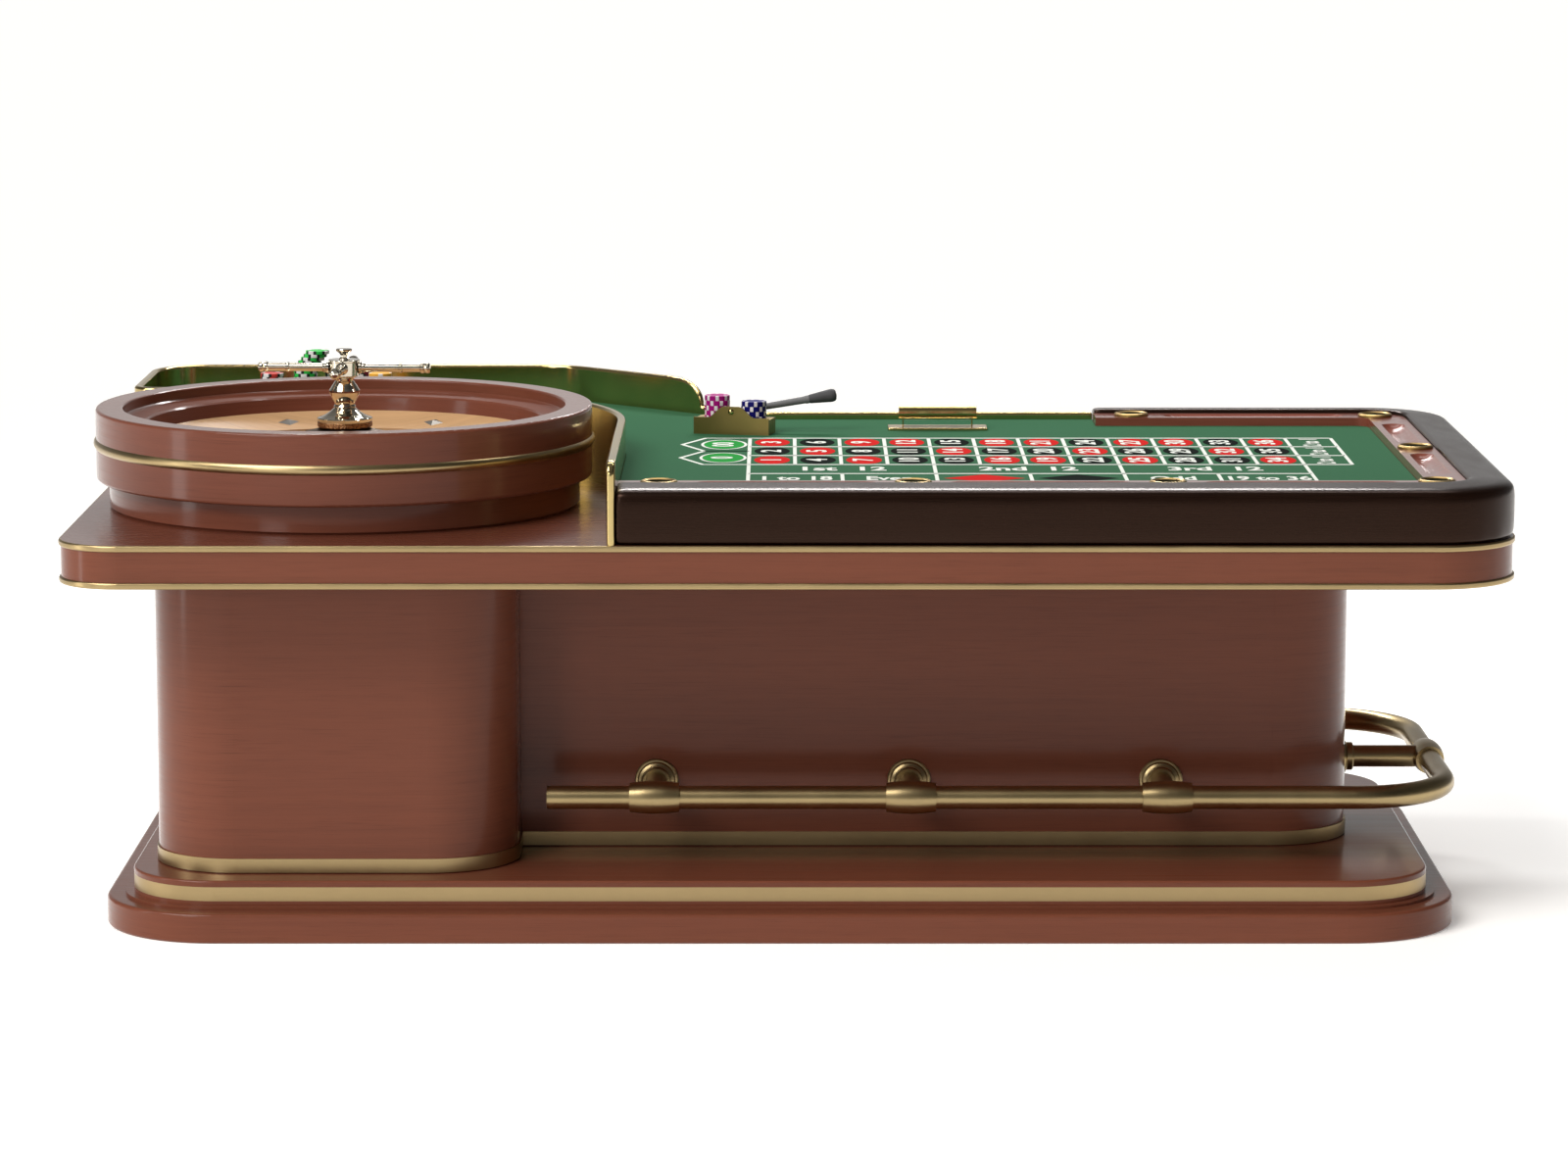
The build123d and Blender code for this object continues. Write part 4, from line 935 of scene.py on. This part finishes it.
chip_stack("pink_chips", "chips_pink", "chip_pink", "98056F", EVEN_SPOTS)
chip_stack("blue_chips", "chips_blue", "chip_blue", "08085E", EVEN_SPOTS)
chip_stack("green_chips", "chips_green", "chip_green", "2FB84A", EDGED_SPOTS)
for stack, stack_x, clay, spots in (
    ("red_chips", -0.975, "C03A34", EDGED_SPOTS),
    ("black_chips", -0.858, "23302A", EDGED_SPOTS),
    ("maroon_chips", -0.810, "6A2436", EDGED_SPOTS),
    ("amber_chips", -0.7715, "E0A23C", WIDE_SPOTS),
):
    chip_stack(stack, "chips_wing", "chip_mixed", clay, spots, stack_x)

# ---- cup liners: painted shade inside the cups -------------------------------------------

SHADE_LINER_RADIUS, SHADE_LINER_FLOOR_RADIUS = 0.0238, 0.0225
SHADE_LINER_FLOOR, SHADE_LINER_FILLET, SHADE_LINER_DROP = 0.0028, 0.0012, 0.0032


def cup_liners():
    """A dark sleeve and pad inside each brass cup, which paint the shade inside the cup."""
    vertices, faces = [], []
    for low, high in solids_in("cup_holders"):
        floor_height = low.z + SHADE_LINER_FLOOR
        rings = (
            (SHADE_LINER_FLOOR_RADIUS, floor_height),
            (SHADE_LINER_RADIUS, floor_height + SHADE_LINER_FILLET),
            (SHADE_LINER_RADIUS, high.z - SHADE_LINER_DROP),
        )
        start = len(vertices)
        middle = (low + high) / 2
        for reach, height in rings:
            for step in range(RING_STEPS):
                angle = 2 * math.pi * step / RING_STEPS
                x, y = reach * math.cos(angle), reach * math.sin(angle)
                vertices.append(Vector((middle.x + x, middle.y + y, height)))
        faces.append(tuple(range(start, start + RING_STEPS)))
        # The sleeve's faces look outwards, towards the brass.
        faces += [(a, b, d, c) for a, c, d, b in band_faces(start, len(rings), RING_STEPS)]
    mesh = mesh_of("cup_liners", vertices, faces, True)
    # The dark olive of the sleeve and pad is painted shade inside each cup.
    painted_shade = moulded("cup_painted_shade", "2A2C1C", 0.7, 1500.0, 0.4)
    add_piece("cup_liners", mesh, "table", "dark_leather", painted_shade)


cup_liners()

# ---- studio ------------------------------------------------------------------------------

FLOOR_REACH = 80.0
# Area lights: place, aim, width, height and power.
AREA_LIGHTS = {
    "left": ((-4.2, -1.25, 1.3), (-0.8, -0.2, 0.6), 0.5, 3.0, 22),
    "front_left": ((-3.4, -5.0, 1.9), (0, -0.5, 0.6), 1.2, 1.4, 45),
    "back": ((0.1, 3.2, 3.5), (0.0, 0, 0.8), 2.8, 0.4, 130),
    "overhead": ((0.2, 0.5, 3.6), (0.1, 0, 0.8), 3.4, 0.22, 30),
}
SUN_DIRECTION, SUN_POWER, SUN_ANGLE, SUN_COLOR = (0.5, 0.5, -0.74), 2.8, 38, (1, 0.985, 0.96)
# How the sky fades: the axis of the direction, where the fade starts and ends, and from what
# strength to what.
SKY_FADES = (
    ("Z", 0.03, 0.45, 0.66, 0.22),
    ("X", 0.08, 0.55, 1.0, 0.3),
    ("X", -0.75, -0.2, 0.4, 1.0),
    ("Y", -0.5, 0.1, 0.45, 1.0),
)
SKY_COLOR = (1.0, 0.99, 0.975, 1)
CAMERA_PLACE, CAMERA_TILT = (-0.0075, -9.1655, 1.9234), 8.824
CAMERA_LENS, CAMERA_SENSOR = 118.125, 36


def floor():
    reach = FLOOR_REACH
    corners = [(-reach, -reach, 0), (reach, -reach, 0), (reach, reach, 0), (-reach, reach, 0)]
    mesh = mesh_of("floor", corners, [(0, 1, 2, 3)])
    ground = place_object("floor", mesh)
    glow = {"Emission_Color": linear("FFFDFA"), "Emission_Strength": 0.3}
    s = Surface("studio_floor", "FBFAF8", 0.7, Specular_IOR_Level=0.0, **glow)
    mesh.materials.append(s.material)


def point_along(lamp, direction):
    lamp.rotation_euler = direction.to_track_quat("-Z", "Y").to_euler()


def area_light(name, place, aim, width, height, power):
    data = bpy.data.lights.new(name, "AREA")
    data.shape = "RECTANGLE"
    data.size, data.size_y = width, height
    data.energy = power
    lamp = place_object(name, data)
    lamp.location = place
    point_along(lamp, Vector(aim) - Vector(place))


def sun():
    data = bpy.data.lights.new("key", "SUN")
    data.energy = SUN_POWER
    data.angle = math.radians(SUN_ANGLE)
    data.color = SUN_COLOR
    point_along(place_object("key", data), Vector(SUN_DIRECTION))


def sky():
    """A pale sky, bright low down behind, darker overhead, in front and to the sides."""
    world = bpy.data.worlds.new("studio")
    world.use_nodes = True
    nodes, links = world.node_tree.nodes, world.node_tree.links
    coordinates = nodes.new("ShaderNodeTexCoord")
    axes = nodes.new("ShaderNodeSeparateXYZ")
    links.new(coordinates.outputs["Generated"], axes.inputs[0])

    def fade(axis, start, end, low, high):
        made = nodes.new("ShaderNodeMapRange")
        limits = {"From Min": start, "From Max": end, "To Min": low, "To Max": high}
        for name, limit in limits.items():
            made.inputs[name].default_value = limit
        links.new(axes.outputs[axis], made.inputs["Value"])
        return made.outputs["Result"]

    def product(a, b):
        made = nodes.new("ShaderNodeMath")
        made.operation = "MULTIPLY"
        links.new(a, made.inputs[0])
        links.new(b, made.inputs[1])
        return made.outputs[0]

    strength, *shares = (fade(*limits) for limits in SKY_FADES)
    for share in shares:
        strength = product(strength, share)
    background = nodes["Background"]
    background.inputs["Color"].default_value = SKY_COLOR
    links.new(strength, background.inputs["Strength"])
    bpy.context.scene.world = world


def camera():
    data = bpy.data.cameras.new("camera")
    data.lens = CAMERA_LENS
    data.sensor_width = CAMERA_SENSOR
    data.clip_end = 200
    eye = place_object("camera", data)
    eye.location = CAMERA_PLACE
    eye.rotation_euler = (math.radians(90 - CAMERA_TILT), 0, 0)
    bpy.context.scene.camera = eye


floor()
sky()
sun()
for light, settings in AREA_LIGHTS.items():
    area_light(light, *settings)
bpy.context.scene.view_settings.view_transform = "Standard"
camera()
